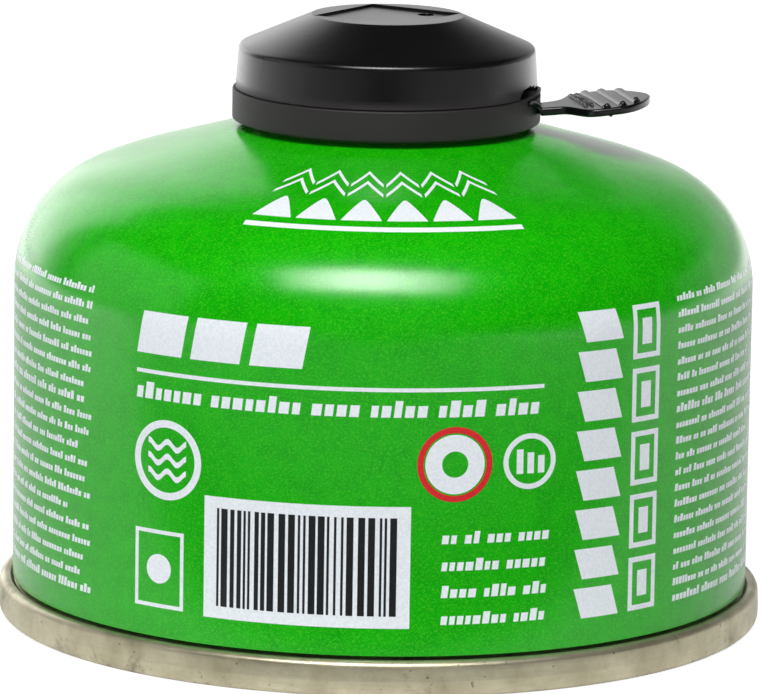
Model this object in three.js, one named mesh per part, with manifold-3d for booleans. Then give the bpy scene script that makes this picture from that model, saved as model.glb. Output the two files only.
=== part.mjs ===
// Screw-valve gas canister for a camping stove, with its push-on protective cap.
// Millimetres, +Z up. The origin is the centre of the base, on the surface the canister stands on.
// The cap's pull tab points towards +X.
//
// Pieces: the drawn steel shell with its sealed contents, the rolled tinplate base end, the valve
// mounting cup with its threaded neck, the cup's gasket, the seal in the neck, and the cap.

import * as THREE from 'three';
import { mergeVertices } from 'three/addons/utils/BufferGeometryUtils.js';
import Module from 'manifold-3d';

const wasm = await Module();
wasm.setup();

// Driving dimensions

// Shell
const bodyDiameter = 86.8;
const wallTop = 39.9; // height where the straight wall ends and the shoulder begins
const shoulderRadius = 13.9; // section radius of the round shoulder
const crownRadius = 53.5; // section radius of the flatter crown above the shoulder
const crownStartSlope = 21.6; // surface slope in degrees where the shoulder meets the crown
const coneSlope = 15.8; // slope in degrees of the cone that runs up to the neck
const mouthDiameter = 25.8; // clear opening inside the rolled bead
const beadRadius = 1.0; // section radius of the bead rolled round the mouth

// Base end
const seamDiameter = 90; // over the double seam
const seamHeight = 4.2;
const seamThickness = 2.6; // radial thickness of the folded layers
const seamFootFlat = 0.7; // width of the flat ring the canister stands on
const seamTopRadius = 0.8; // rounding of the seam's upper outer edge
const panelRise = 6.5; // how far the base panel domes up into the can
const sheetThickness = 0.4;

// Valve mounting cup and its threaded neck, 7/16 inch, 28 threads to the inch
const cupCurlEnd = -5; // angle in degrees where the curl's free edge stops, below its middle
const cupDepth = 6.3; // from the top of the curl down to the trough
const cupCornerRadius = 1.2;
const threadDiameter = 11.11;
const threadPitch = 0.907;
const threadDepth = 0.5;
const threadLength = 7.6;
const neckHeight = 5.6; // of the threaded neck above the curl
const neckChamfer = 0.4;
const neckRelief = 0.2; // the plain neck is this much slimmer than the thread's root
const neckBoreRadius = 3.4;
const pinHoleRadius = 1.2; // passage that the stove's pin reaches through
const pinHoleDepth = 4.5;

// Seals
const gasketThickness = 0.4;
const gasketHalfAngle = 68; // the gasket covers this much of the bead either side of its top
const sealThickness = 1.6;
const sealHoleRadius = 1.6;

// Cap
const capCurlClearance = 0.7; // round the mounting cup's curl, inside the tear band
const capBandHeight = 3.5;
const capLedge = 0.35; // step in from the tear band to the wall above it
const capHeight = 12.4;
const capWallHeight = 5.3; // from the tear line to the shoulder edge
const capWallDraft = 0.35; // how much the wall's radius shrinks on its way up
const capShoulderRadius = 0.55;
const capTopDiameter = 17.6; // flat disc on top
const capConeHeight = 3.1;
const capWallThickness = 1.05;
const tearGrooveDepth = 0.3;
const tearGrooveHeight = 0.22;
const snapRingReach = 1.3; // how far the snap ring stands in from the band's inner wall
const snapRingHeight = 0.8;
const topRecessCorner = 8.7; // from the centre to each corner of the square recess
const topRecessDepth = 0.3;
const topRecessTurn = 11.9; // degrees from +X to its first corner
const ventRadius = 0.95;
const ventPlace = [4.6, 2.9];
const seatRibCount = 8; // inner ribs that bear on the mounting cup's curl
const seatRibWidth = 0.9;
const seatRibHeight = 3;
const seatRibReach = 2.9;

// Pull tab: a strap rooted in the tear band, and an egg-shaped paddle with cross ribs
const tabThickness = 0.8;
const tabTurn = 12.2; // degrees from +X to the paddle's axis
const tabRise = 0.099; // how much the tab rises for each millimetre outwards
const tabReach = [7.8, -2.4]; // paddle centre: out from the band in X, and its Y
const paddleHalfLength = 4.5;
const paddleHalfWidth = 6.08;
const paddleTaper = 0.32; // how much narrower its outer end is
const paddleRoundness = 2.3; // exponent of its outline, 2 for an ellipse
const strapWidth = 4.2;
const strapOffset = 1.1; // the strap's middle lies beside the paddle's axis
const strapFlare = 1.4; // extra width on each side where it meets the band
const strapBend = 0.8; // distance from the band to the bend
const paddleFillet = 2.4; // where the strap widens into the paddle
const gripRibCount = 3;
const gripRibSpacing = 1.95;
const gripRibFirst = -2.2; // along the paddle's axis from its centre
const gripRibWidth = 1.0;
const gripRibHeight = 0.32;
const gripBeadRadius = 0.38;

// Thumb window above the tab, and the lip that is raised in front of it
const windowStart = -32.5; // degrees from +X
const windowEnd = 12.5;
const windowHeight = 1.75;
const windowLift = 0.12; // above the tear line
const lipThickness = 0.42;
const lipRise = 0.75;

// Clearances
const fitGap = 0.3; // between pieces that bear on or wrap each other
const capFloat = 0.95; // from the shell's cone up to the cap's lower edge

// Smoothness of round pieces
const wideSegments = 56;
const narrowSegments = 28;
const threadSegments = 16;
const threadRowsPerTurn = 4;

// Sizes that follow from the driving ones

const bodyRadius = bodyDiameter / 2;
const seamRadius = seamDiameter / 2;
const seamInnerRadius = seamRadius - seamThickness;
const threadRadius = threadDiameter / 2;

const slopeAngle = (degrees) => THREE.MathUtils.degToRad(degrees);

// The shell's section: shoulder arc, crown arc tangent to it, then a straight cone.
const shoulderCentre = new THREE.Vector2(bodyRadius - shoulderRadius, wallTop);
const crownDirection = 90 - crownStartSlope;
const crownCentre = new THREE.Vector2(
  shoulderCentre.x + (shoulderRadius - crownRadius) * Math.cos(slopeAngle(crownDirection)),
  shoulderCentre.y + (shoulderRadius - crownRadius) * Math.sin(slopeAngle(crownDirection)),
);
const coneDirection = 90 - coneSlope;
const coneStart = new THREE.Vector2(
  crownCentre.x + crownRadius * Math.cos(slopeAngle(coneDirection)),
  crownCentre.y + crownRadius * Math.sin(slopeAngle(coneDirection)),
);
const coneHeightAt = (radius) => coneStart.y + (coneStart.x - radius) * Math.tan(slopeAngle(coneSlope));

// The bead stands on the cone, and the gasket and the mounting cup wrap it in that order.
const mouthRadius = mouthDiameter / 2;
const beadCentre = new THREE.Vector2(mouthRadius + beadRadius, 0);
const beadRootRadius = beadCentre.x + beadRadius * 0.75;
beadCentre.y = coneHeightAt(beadRootRadius) + beadRadius * 1.6;
const gasketInner = beadRadius + fitGap;
const gasketOuter = gasketInner + gasketThickness;
const curlInner = gasketOuter + fitGap;
const curlOuter = curlInner + sheetThickness;
const curlTop = beadCentre.y + curlOuter;
const cupWallRadius = beadCentre.x - curlOuter;
const troughTop = curlTop - cupDepth;
const neckTop = curlTop + neckHeight;

// The cap's tear band goes round the curl.
const bandInnerRadius = beadCentre.x + curlOuter + capCurlClearance;
const bandRadius = bandInnerRadius + capWallThickness;
const wallBaseRadius = bandRadius - capLedge;
const capBottom = coneHeightAt(bandRadius) + capFloat;
const tearLine = capBottom + capBandHeight;
const capTop = capBottom + capHeight;

// Helpers

const point = (x, y) => new THREE.Vector2(x, y);

/** Points along an arc of a section, from one angle to another in degrees, both ends included. */
function arc(centre, radius, from, to, steps) {
  return Array.from({ length: steps + 1 }, (_, i) => {
    const angle = slopeAngle(from + ((to - from) * i) / steps);
    return point(centre.x + radius * Math.cos(angle), centre.y + radius * Math.sin(angle));
  });
}

/** Welds a mesh into one closed surface, drops collapsed triangles and turns its faces outwards. */
function closed(source) {
  const plain = source.clone();
  plain.deleteAttribute('normal');
  plain.deleteAttribute('uv');
  const welded = mergeVertices(plain, 1e-4);
  const place = welded.getAttribute('position');
  const corner = (i) => new THREE.Vector3().fromBufferAttribute(place, i);
  const kept = [];
  let volume = 0;
  for (let i = 0; i < welded.index.count; i += 3) {
    const [a, b, c] = [0, 1, 2].map((k) => welded.index.getX(i + k));
    if (a === b || b === c || c === a) continue;
    kept.push(a, b, c);
    volume += corner(a).dot(corner(b).cross(corner(c)));
  }
  if (volume < 0) kept.reverse();
  welded.setIndex(kept);
  return welded;
}

/** Turns a closed section round the Z axis. The section's x is the radius and its y the height. */
function turned(section, segments) {
  const lathe = new THREE.LatheGeometry(section, segments);
  lathe.rotateX(Math.PI / 2);
  return closed(lathe);
}

/** A three.js mesh geometry as a solid that can be cut and joined. */
function solid(geometry) {
  const clean = closed(geometry);
  return new wasm.Manifold(new wasm.Mesh({
    numProp: 3,
    vertProperties: new Float32Array(clean.getAttribute('position').array),
    triVerts: new Uint32Array(clean.index.array),
  }));
}

/** A solid back as a three.js geometry. */
function geometryOf(body) {
  const mesh = body.getMesh();
  const geometry = new THREE.BufferGeometry();
  geometry.setAttribute('position', new THREE.BufferAttribute(new Float32Array(mesh.vertProperties), 3));
  geometry.setIndex(new THREE.BufferAttribute(new Uint32Array(mesh.triVerts), 1));
  return geometry;
}

/** A closed mesh from rings of four corners each, one ring after another, with both ends shut. */
function barThrough(rings) {
  const corners = rings.flat();
  const faces = [];
  for (let i = 0; i < rings.length - 1; i += 1) {
    for (let k = 0; k < 4; k += 1) {
      const a = i * 4 + k;
      const b = i * 4 + ((k + 1) % 4);
      faces.push(a, b, b + 4, a, b + 4, a + 4);
    }
  }
  const last = (rings.length - 1) * 4;
  faces.push(0, 2, 1, 0, 3, 2, last, last + 1, last + 2, last, last + 2, last + 3);
  const geometry = new THREE.BufferGeometry();
  geometry.setAttribute('position', new THREE.Float32BufferAttribute(corners.flatMap((c) => c.toArray()), 3));
  geometry.setIndex(faces);
  return geometry;
}

/** A bar bent round the Z axis. Its lower and upper edges are functions of the angle in degrees. */
function bentBar(innerRadius, outerRadius, lower, upper, from, to, steps) {
  const rings = Array.from({ length: steps + 1 }, (_, i) => {
    const degrees = from + ((to - from) * i) / steps;
    const angle = slopeAngle(degrees);
    const at = (r, z) => new THREE.Vector3(r * Math.cos(angle), r * Math.sin(angle), z);
    return [
      at(innerRadius, lower(degrees)), at(outerRadius, lower(degrees)),
      at(outerRadius, upper(degrees)), at(innerRadius, upper(degrees)),
    ];
  });
  return barThrough(rings);
}

/** Extrudes a plan outline upwards from z = 0. */
function slab(outline, thickness) {
  return new THREE.ExtrudeGeometry(new THREE.Shape(outline), { depth: thickness, bevelEnabled: false });
}

function finish(color, roughness, metalness) {
  return new THREE.MeshStandardMaterial({ color, roughness, metalness });
}

function named(name, geometry, material) {
  const flat = geometry.toNonIndexed();
  flat.computeVertexNormals();
  const mesh = new THREE.Mesh(flat, material);
  mesh.name = name;
  return mesh;
}

// Base end

// The panel's underside is a shallow sphere that rises from the inside of the seam.
const panelRimRadius = seamInnerRadius - 1.4;
const panelRimHeight = seamHeight + 0.1;
const panelSphere = (panelRimRadius ** 2 + panelRise ** 2) / (2 * panelRise);
const panelHeightAt = (radius) => (
  panelRimHeight + panelRise - panelSphere + Math.sqrt(panelSphere ** 2 - radius ** 2)
);

/** Points of the panel's dome from the axis out to its rim, lifted by the given height. */
function panelDome(lift) {
  const steps = 4;
  return Array.from({ length: steps + 1 }, (_, i) => {
    const radius = (panelRimRadius * i) / steps;
    return point(radius, panelHeightAt(radius) + lift);
  });
}

function baseEnd() {
  const footCorner = (seamThickness - seamFootFlat) / 2;
  const innerFoot = point(seamInnerRadius + footCorner, footCorner);
  const outerFoot = point(seamRadius - footCorner, footCorner);
  const topCorner = point(seamRadius - seamTopRadius, seamHeight - seamTopRadius);
  const section = [
    ...panelDome(0),
    point(seamInnerRadius - 0.35, seamHeight - 0.5),
    point(seamInnerRadius, seamHeight - 1.4),
    ...arc(innerFoot, footCorner, 180, 270, 3),
    ...arc(outerFoot, footCorner, 270, 360, 3),
    ...arc(topCorner, seamTopRadius, 0, 90, 3),
    point(bodyRadius - 1.2, seamHeight),
    ...panelDome(sheetThickness).reverse(),
  ];
  return turned(section, wideSegments);
}

// Shell with its sealed contents, which fill it down to the base panel and up to the mounting cup

function canBody() {
  const wallBottom = seamHeight + fitGap;
  const section = [
    ...panelDome(sheetThickness + fitGap),
    point(bodyRadius - 1.2, wallBottom),
    point(bodyRadius, wallBottom),
    ...arc(shoulderCentre, shoulderRadius, 0, crownDirection, 8),
    ...arc(crownCentre, crownRadius, crownDirection, coneDirection, 2).slice(1),
    point(beadRootRadius, coneHeightAt(beadRootRadius)),
    ...arc(beadCentre, beadRadius, -40, 180, 5),
    point(mouthRadius, troughTop - sheetThickness - fitGap),
    point(0, troughTop - sheetThickness - fitGap),
  ];
  return turned(section, wideSegments);
}

// Valve mounting cup

function valveCup() {
  const innerCorner = point(cupWallRadius - cupCornerRadius, troughTop + cupCornerRadius);
  const rootRadius = threadRadius - threadDepth - neckRelief;
  const sealFloor = neckTop - neckChamfer - sealThickness - fitGap;
  const section = [
    point(0, troughTop - sheetThickness),
    point(cupWallRadius - cupCornerRadius, troughTop - sheetThickness),
    ...arc(innerCorner, cupCornerRadius + sheetThickness, 270, 360, 3).slice(1),
    ...arc(beadCentre, curlInner, 180, cupCurlEnd, 7),
    ...arc(beadCentre, curlOuter, cupCurlEnd, 180, 7),
    ...arc(innerCorner, cupCornerRadius, 360, 270, 3),
    point(rootRadius + neckChamfer, troughTop),
    point(rootRadius, troughTop + neckChamfer),
    point(rootRadius, neckTop - neckChamfer),
    point(rootRadius - neckChamfer, neckTop),
    point(neckBoreRadius, neckTop),
    point(neckBoreRadius, sealFloor),
    point(pinHoleRadius, sealFloor),
    point(pinHoleRadius, sealFloor - pinHoleDepth),
    point(0, sealFloor - pinHoleDepth),
  ];
  return geometryOf(solid(turned(section, narrowSegments)).add(solid(neckThread())));
}

/**
 * Sleeve with a screw thread on it. Its radius follows a triangle wave along the helix, and fades
 * into the plain neck over the first and the last turn.
 */
function neckThread() {
  const start = neckTop - neckChamfer - threadLength;
  const rows = Math.round((threadLength / threadPitch) * threadRowsPerTurn);
  const innerRadius = neckBoreRadius + (threadRadius - threadDepth - neckBoreRadius) / 2; // inside the neck
  const rings = [];
  for (let j = 0; j <= rows; j += 1) {
    const height = (threadLength * j) / rows;
    const fade = Math.min(1, height / threadPitch, (threadLength - height) / threadPitch);
    for (let i = 0; i < threadSegments; i += 1) {
      const turn = i / threadSegments;
      const phase = (height / threadPitch - turn + threadLength) % 1;
      const crest = 1 - Math.abs(2 * phase - 1);
      const radius = threadRadius - threadDepth * (1 - crest * fade);
      const angle = 2 * Math.PI * turn;
      rings.push(radius * Math.cos(angle), radius * Math.sin(angle), start + height);
    }
  }
  const outerCount = rings.length / 3;
  for (const height of [start, start + threadLength]) {
    for (let i = 0; i < threadSegments; i += 1) {
      const angle = (2 * Math.PI * i) / threadSegments;
      rings.push(innerRadius * Math.cos(angle), innerRadius * Math.sin(angle), height);
    }
  }
  const faces = [];
  const join = (lowRing, highRing) => {
    for (let i = 0; i < threadSegments; i += 1) {
      const next = (i + 1) % threadSegments;
      faces.push(lowRing + i, lowRing + next, highRing + next, lowRing + i, highRing + next, highRing + i);
    }
  };
  for (let j = 0; j < rows; j += 1) join(j * threadSegments, (j + 1) * threadSegments);
  const lowInner = outerCount;
  const highInner = outerCount + threadSegments;
  join(lowInner, 0);
  join(rows * threadSegments, highInner);
  join(highInner, lowInner);
  const geometry = new THREE.BufferGeometry();
  geometry.setAttribute('position', new THREE.Float32BufferAttribute(rings, 3));
  geometry.setIndex(faces);
  return geometry;
}

// Seals

function cupGasket() {
  const from = 90 - gasketHalfAngle;
  const to = 90 + gasketHalfAngle;
  const inner = arc(beadCentre, gasketInner, from, to, 4);
  const outer = arc(beadCentre, gasketOuter, to, from, 4);
  return turned([...inner, ...outer, inner[0].clone()], narrowSegments);
}

function neckSeal() {
  const outer = neckBoreRadius - fitGap;
  const top = neckTop - neckChamfer;
  const section = [
    point(sealHoleRadius, top - sealThickness),
    point(outer, top - sealThickness),
    point(outer, top),
    point(sealHoleRadius, top),
    point(sealHoleRadius, top - sealThickness),
  ];
  return turned(section, narrowSegments);
}

// Cap

const wallTopHeight = tearLine + capWallHeight;
const wallTopRadius = wallBaseRadius - capWallDraft;
const topDiscRadius = capTopDiameter / 2;
const coneFoot = capTop - capConeHeight;
const ceiling = capTop - capWallThickness;

function capShell() {
  const edge = point(wallTopRadius - capShoulderRadius, wallTopHeight);
  const innerTop = wallTopRadius - capWallThickness;
  const snapTop = capBottom + snapRingHeight + 0.3;
  const section = [
    point(0, capTop),
    point(topDiscRadius, capTop),
    point(wallTopRadius - capShoulderRadius * 0.7, coneFoot),
    ...arc(edge, capShoulderRadius, 60, 0, 3),
    point(wallBaseRadius, tearLine + tearGrooveHeight),
    point(wallBaseRadius - tearGrooveDepth, tearLine + tearGrooveHeight / 2),
    point(wallBaseRadius - tearGrooveDepth, tearLine),
    point(bandRadius - 0.06, tearLine),
    point(bandRadius, tearLine - 0.08),
    point(bandRadius, capBottom),
    point(bandInnerRadius + 0.3, capBottom),
    point(bandInnerRadius + 0.3 - snapRingReach, capBottom + 0.3),
    point(bandInnerRadius - snapRingReach, capBottom + snapRingHeight),
    point(bandInnerRadius, snapTop),
    point(bandInnerRadius, tearLine - 0.6),
    point(wallBaseRadius - capWallThickness, tearLine + 0.3),
    point(innerTop, coneFoot - capWallThickness),
    point(topDiscRadius, ceiling),
    point(0, ceiling),
  ];
  return turned(section, wideSegments);
}

/** The paddle's plan outline in its own frame, with the strap growing out of its inner end. */
function tabOutline(strapEnd) {
  const upper = strapOffset + strapWidth / 2;
  const lower = strapOffset - strapWidth / 2;
  const egg = (angle) => {
    const round = (value) => Math.sign(value) * Math.abs(value) ** (2 / paddleRoundness);
    const along = paddleHalfLength * round(Math.cos(angle));
    const across = paddleHalfWidth * (1 - (paddleTaper * along) / paddleHalfLength);
    return point(along, across * round(Math.sin(angle)));
  };
  const steps = 18;
  const reach = slopeAngle(142);
  const rim = Array.from({ length: steps + 1 }, (_, i) => egg(-reach + (2 * reach * i) / steps));
  const widen = (side, edge) => new THREE.QuadraticBezierCurve(
    point(edge.x, edge.y),
    point(edge.x - paddleFillet * 0.45, side),
    point(edge.x - paddleFillet, side),
  ).getPoints(3).slice(1);
  return [
    ...rim,
    ...widen(upper, rim[steps]),
    point(strapEnd, upper),
    point(strapEnd, lower),
    ...widen(lower, rim[0]).reverse(),
  ];
}

/** Turns a piece of the tab from the paddle's own frame into the object's. */
function placeTab(geometry) {
  const tilt = new THREE.Matrix4().set(
    1, 0, 0, 0,
    0, 1, 0, 0,
    tabRise, 0, 1, tabTop,
    0, 0, 0, 1,
  );
  geometry.applyMatrix4(tilt);
  geometry.rotateZ(slopeAngle(tabTurn));
  geometry.translate(bandRadius + tabReach[0], tabReach[1], 0);
  return geometry;
}

const tabTop = tearLine - 0.34; // height of the paddle's top face at its centre
const strapEnd = -tabReach[0] - strapBend * 0.5;

function pullTab() {
  const plate = slab(tabOutline(strapEnd - 0.2), tabThickness);
  plate.translate(0, 0, -tabThickness);
  let tab = solid(placeTab(plate));

  // The root climbs from the bend to the band just under the lip, and widens as it goes.
  const rootLength = 1.75;
  const rootRise = 0.55; // steepness of the climb
  const upper = strapOffset + strapWidth / 2;
  const lower = strapOffset - strapWidth / 2;
  const root = slab([
    point(strapEnd, lower),
    point(strapEnd, upper),
    point(strapEnd - rootLength, upper + strapFlare),
    point(strapEnd - rootLength, lower - strapFlare),
  ], tabThickness);
  root.applyMatrix4(new THREE.Matrix4().set(
    1, 0, 0, 0,
    0, 1, 0, 0,
    -rootRise, 0, 1, -tabThickness + rootRise * strapEnd,
    0, 0, 0, 1,
  ));
  tab = tab.add(solid(placeTab(root)));

  for (let i = 0; i < gripRibCount; i += 1) {
    const along = gripRibFirst + i * gripRibSpacing;
    const across = paddleHalfWidth * (1 - (paddleTaper * along) / paddleHalfLength);
    const share = (1 - Math.abs(along / paddleHalfLength) ** paddleRoundness) ** (1 / paddleRoundness);
    const halfSpan = across * share - 0.35;
    const ridge = new THREE.ExtrudeGeometry(
      new THREE.Shape([
        point(-gripRibWidth / 2, -0.1),
        point(gripRibWidth / 2, -0.1),
        point(gripRibWidth / 4, gripRibHeight),
        point(-gripRibWidth / 4, gripRibHeight),
      ]),
      { depth: 2 * halfSpan, bevelEnabled: false },
    );
    ridge.rotateX(Math.PI / 2);
    ridge.translate(along, halfSpan, 0);
    tab = tab.add(solid(placeTab(ridge)));

    const bead = new THREE.SphereGeometry(gripBeadRadius, 8, 5);
    bead.translate(along, -halfSpan, gripRibHeight * 0.5);
    tab = tab.add(solid(placeTab(bead)));
  }

  // The root stops inside the band's wall.
  const hollowRadius = bandInnerRadius + capWallThickness / 4;
  const hollow = new THREE.CylinderGeometry(hollowRadius, hollowRadius, capHeight, wideSegments);
  hollow.rotateX(Math.PI / 2);
  hollow.translate(0, 0, capBottom + capHeight / 2);
  return tab.subtract(solid(hollow));
}

function cap() {
  let body = solid(capShell());

  const square = slab(arc(point(0, 0), topRecessCorner, topRecessTurn, topRecessTurn + 270, 3), 1);
  square.translate(0, 0, capTop - topRecessDepth);
  body = body.subtract(solid(square));

  const vent = new THREE.CylinderGeometry(ventRadius, ventRadius, 4, 14);
  vent.rotateX(Math.PI / 2);
  vent.translate(...ventPlace, ceiling);
  body = body.subtract(solid(vent));

  // The window's ends are round: its height falls off as a half ellipse near each end.
  const middle = (windowStart + windowEnd) / 2;
  const half = (windowEnd - windowStart) / 2;
  const windowBase = tearLine + windowLift;
  const windowTop = (degrees) => {
    const outward = Math.abs(degrees - middle) / half;
    return windowBase + windowHeight * Math.sqrt(Math.max(0.002, 1 - outward ** 6));
  };
  body = body.subtract(solid(bentBar(
    wallBaseRadius - capWallThickness - 1, bandRadius + 0.5,
    () => windowBase, windowTop, windowStart, windowEnd, 14,
  )));

  // The lip carries on the band's outer face upwards in front of the window.
  const lipTop = (degrees) => {
    const rise = Math.cos((Math.PI / 2) * ((degrees - middle) / (half + 3)));
    return tearLine + lipRise * Math.sqrt(Math.max(0.02, rise));
  };
  body = body.add(solid(bentBar(
    bandRadius - lipThickness, bandRadius + 0.04,
    () => tearLine - 0.6, lipTop, windowStart - 2, windowEnd + 2, 14,
  )));

  for (let i = 0; i < seatRibCount; i += 1) {
    const rib = new THREE.BoxGeometry(seatRibReach, seatRibWidth, seatRibHeight);
    rib.translate(
      wallBaseRadius - capWallThickness + 0.2 - seatRibReach / 2, 0,
      curlTop + fitGap + seatRibHeight / 2,
    );
    rib.rotateZ((2 * Math.PI * (i + 0.5)) / seatRibCount);
    body = body.add(solid(rib));
  }

  return geometryOf(body.add(pullTab()));
}

// Finishes

const greenPaint = finish(0x3db82a, 0.35, 0.0);
const tinplate = finish(0xa9a28e, 0.38, 0.9);
const cupTinplate = finish(0xc4c2ba, 0.3, 0.9);
const blackRubber = finish(0x1a1a1a, 0.8, 0.0);
const blackPlastic = finish(0x1b1c1e, 0.45, 0.0);

// The object

const canister = new THREE.Group();
canister.add(
  named('can_body', canBody(), greenPaint),
  named('base_end', baseEnd(), tinplate),
  named('valve_cup', valveCup(), cupTinplate),
  named('cup_gasket', cupGasket(), blackRubber),
  named('neck_seal', neckSeal(), blackRubber),
  named('cap', cap(), blackPlastic),
);

export default canister;
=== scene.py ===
"""Looks of a screw-valve gas canister: printed steel can, tinplate base end and black valve cap.

Sizes are millimetres until a mesh is written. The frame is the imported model's: +Z up, the origin at
the centre of the base, the printed front towards -Y and the cap's pull tab towards +X.
"""

import logging
import math
from dataclasses import dataclass, field
from enum import Enum, IntEnum
from typing import Any, Callable

import bpy
import numpy as np
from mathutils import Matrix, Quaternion, Vector


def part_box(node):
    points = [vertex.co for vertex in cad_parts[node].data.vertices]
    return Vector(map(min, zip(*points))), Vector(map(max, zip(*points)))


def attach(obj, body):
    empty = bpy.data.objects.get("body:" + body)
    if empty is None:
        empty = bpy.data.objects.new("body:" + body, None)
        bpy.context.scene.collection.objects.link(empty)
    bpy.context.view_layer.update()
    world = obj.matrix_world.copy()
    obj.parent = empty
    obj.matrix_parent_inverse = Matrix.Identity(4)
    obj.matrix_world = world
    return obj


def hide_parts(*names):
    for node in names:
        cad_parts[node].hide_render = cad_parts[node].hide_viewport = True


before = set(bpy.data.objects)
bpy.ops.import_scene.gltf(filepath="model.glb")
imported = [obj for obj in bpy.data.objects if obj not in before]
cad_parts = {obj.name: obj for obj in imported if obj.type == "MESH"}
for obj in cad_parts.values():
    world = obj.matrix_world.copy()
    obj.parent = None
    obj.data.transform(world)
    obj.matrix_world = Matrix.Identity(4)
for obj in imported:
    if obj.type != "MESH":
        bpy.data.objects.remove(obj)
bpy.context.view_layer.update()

MM = 0.001
BODY = "root"
CREASE = 42  # degrees: an edge that turns by more stays sharp
AXIS = 0.05  # mm from the axis to where a section starts or ends
LOG = logging.getLogger("canister")


class Slot(Enum):
    """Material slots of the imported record."""

    PAINT = "green_paint"
    TINPLATE = "tinplate"
    CUP = "cup_tinplate"
    RUBBER = "seal_rubber"
    PLASTIC = "black_plastic"


# Meshes


@dataclass
class Surface:
    """A mesh in millimetres: vertices, and its faces as quads and triangles."""

    verts: np.ndarray
    quads: np.ndarray
    tris: np.ndarray

    @staticmethod
    def joined(parts: list["Surface"]) -> "Surface":
        """Several surfaces as one mesh.

        Args:
            parts: the surfaces, at least one.

        Returns:
            One surface that holds them all, not welded.
        """
        starts = np.cumsum([0] + [len(p.verts) for p in parts[:-1]])
        return Surface(
            np.concatenate([p.verts for p in parts]),
            np.concatenate([p.quads + s for p, s in zip(parts, starts)]),
            np.concatenate([p.tris + s for p, s in zip(parts, starts)]),
        )


def skin(loops: np.ndarray, start: bool = False, end: bool = False, ring: bool = False) -> Surface:
    """Faces over closed loops of points that follow one another.

    Point (i, j) joins (i, j+1), (i+1, j+1) and (i+1, j), and the loops close in j. Faces point outwards
    where j turns counter-clockwise seen from the side that i grows towards.

    Args:
        loops: array (rows, columns, 3).
        start: close the first loop with a fan to its middle.
        end: close the last loop the same way.
        ring: the last loop joins the first one again.

    Returns:
        The surface.
    """
    rows, cols = loops.shape[:2]
    i = np.arange(rows if ring else rows - 1)[:, None]
    j = np.arange(cols)[None, :]
    k = (j + 1) % cols
    up = (i + 1) % rows
    quads = np.stack([i * cols + j, i * cols + k, up * cols + k, up * cols + j], -1).reshape(-1, 4)
    verts = [loops.reshape(-1, 3)]
    tris = [np.zeros((0, 3), int)]
    j, k = j[0], k[0]
    count = rows * cols
    if start:
        verts.append(loops[0].mean(0)[None])
        tris.append(np.stack([np.full(cols, count), k, j], -1))
        count += 1
    if end:
        verts.append(loops[-1].mean(0)[None])
        last = (rows - 1) * cols
        tris.append(np.stack([last + j, last + k, np.full(cols, count)], -1))
    return Surface(np.concatenate(verts), quads, np.concatenate(tris))


def circle_angles(count: int) -> np.ndarray:
    """Angles once round, in radians, without the last one."""
    return np.arange(count) * (2 * math.pi / count)


def turned(section: np.ndarray, count: int, ring: bool = False) -> Surface:
    """A section (radius, height) turned round the Z axis: x = r cos t, y = r sin t, z = height.

    Args:
        section: array (rows, 2). Unless it is a ring, it starts and ends near the axis.
        count: points round.
        ring: the section closes on itself.

    Returns:
        The closed surface.
    """
    t = circle_angles(count)
    radius = section[:, 0][:, None]
    height = np.broadcast_to(section[:, 1][:, None], (len(section), count))
    loops = np.stack([radius * np.cos(t), radius * np.sin(t), height], -1)
    return skin(loops, start=not ring, end=not ring, ring=ring)


def rounded(corners: list[tuple[float, float, float]], steps: int) -> np.ndarray:
    """A section through corners, each rounded by its own radius.

    Each corner is replaced by the arc that touches both of its sides: it starts radius / tan(half the
    angle between the sides) before the corner.

    Args:
        corners: (x, y, radius) for each corner. The first and the last have a radius of 0.
        steps: pieces in each arc.

    Returns:
        Array (n, 2).
    """
    points = np.array([c[:2] for c in corners], float)
    out = []
    for n, (x, y, radius) in enumerate(corners):
        here = np.array([x, y], float)
        if radius <= 0:
            out.append(here[None])
            continue
        back = points[n - 1] - here
        ahead = points[n + 1] - here
        back, ahead = back / np.linalg.norm(back), ahead / np.linalg.norm(ahead)
        half = math.acos(np.clip(back @ ahead, -1, 1)) / 2
        middle = here + (back + ahead) / np.linalg.norm(back + ahead) * radius / math.sin(half)
        first = here + back * radius / math.tan(half) - middle
        last = here + ahead * radius / math.tan(half) - middle
        turn = math.pi - 2 * half
        share = np.linspace(0, 1, steps + 1)[:, None]
        blend = np.sin((1 - share) * turn) * first + np.sin(share * turn) * last
        out.append(middle + blend / math.sin(turn))
    return np.concatenate(out)


def refined(section: np.ndarray, step: float) -> np.ndarray:
    """Adds points on a section's long straight stretches.

    Args:
        section: array (rows, 2).
        step: the longest distance between neighbours.

    Returns:
        Array (n, 2).
    """
    out = [section[:1]]
    for a, b in zip(section[:-1], section[1:]):
        pieces = max(1, math.ceil(np.linalg.norm(b - a) / step))
        out.append(a + (b - a) * np.linspace(0, 1, pieces + 1)[1:, None])
    return np.concatenate(out)


def arc(centre: tuple[float, float], radius: float, start: float, stop: float, steps: int) -> np.ndarray:
    """Points on an arc of a section, between two angles in degrees."""
    t = np.radians(np.linspace(start, stop, steps + 1))
    return np.stack([centre[0] + radius * np.cos(t), centre[1] + radius * np.sin(t)], -1)


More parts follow.
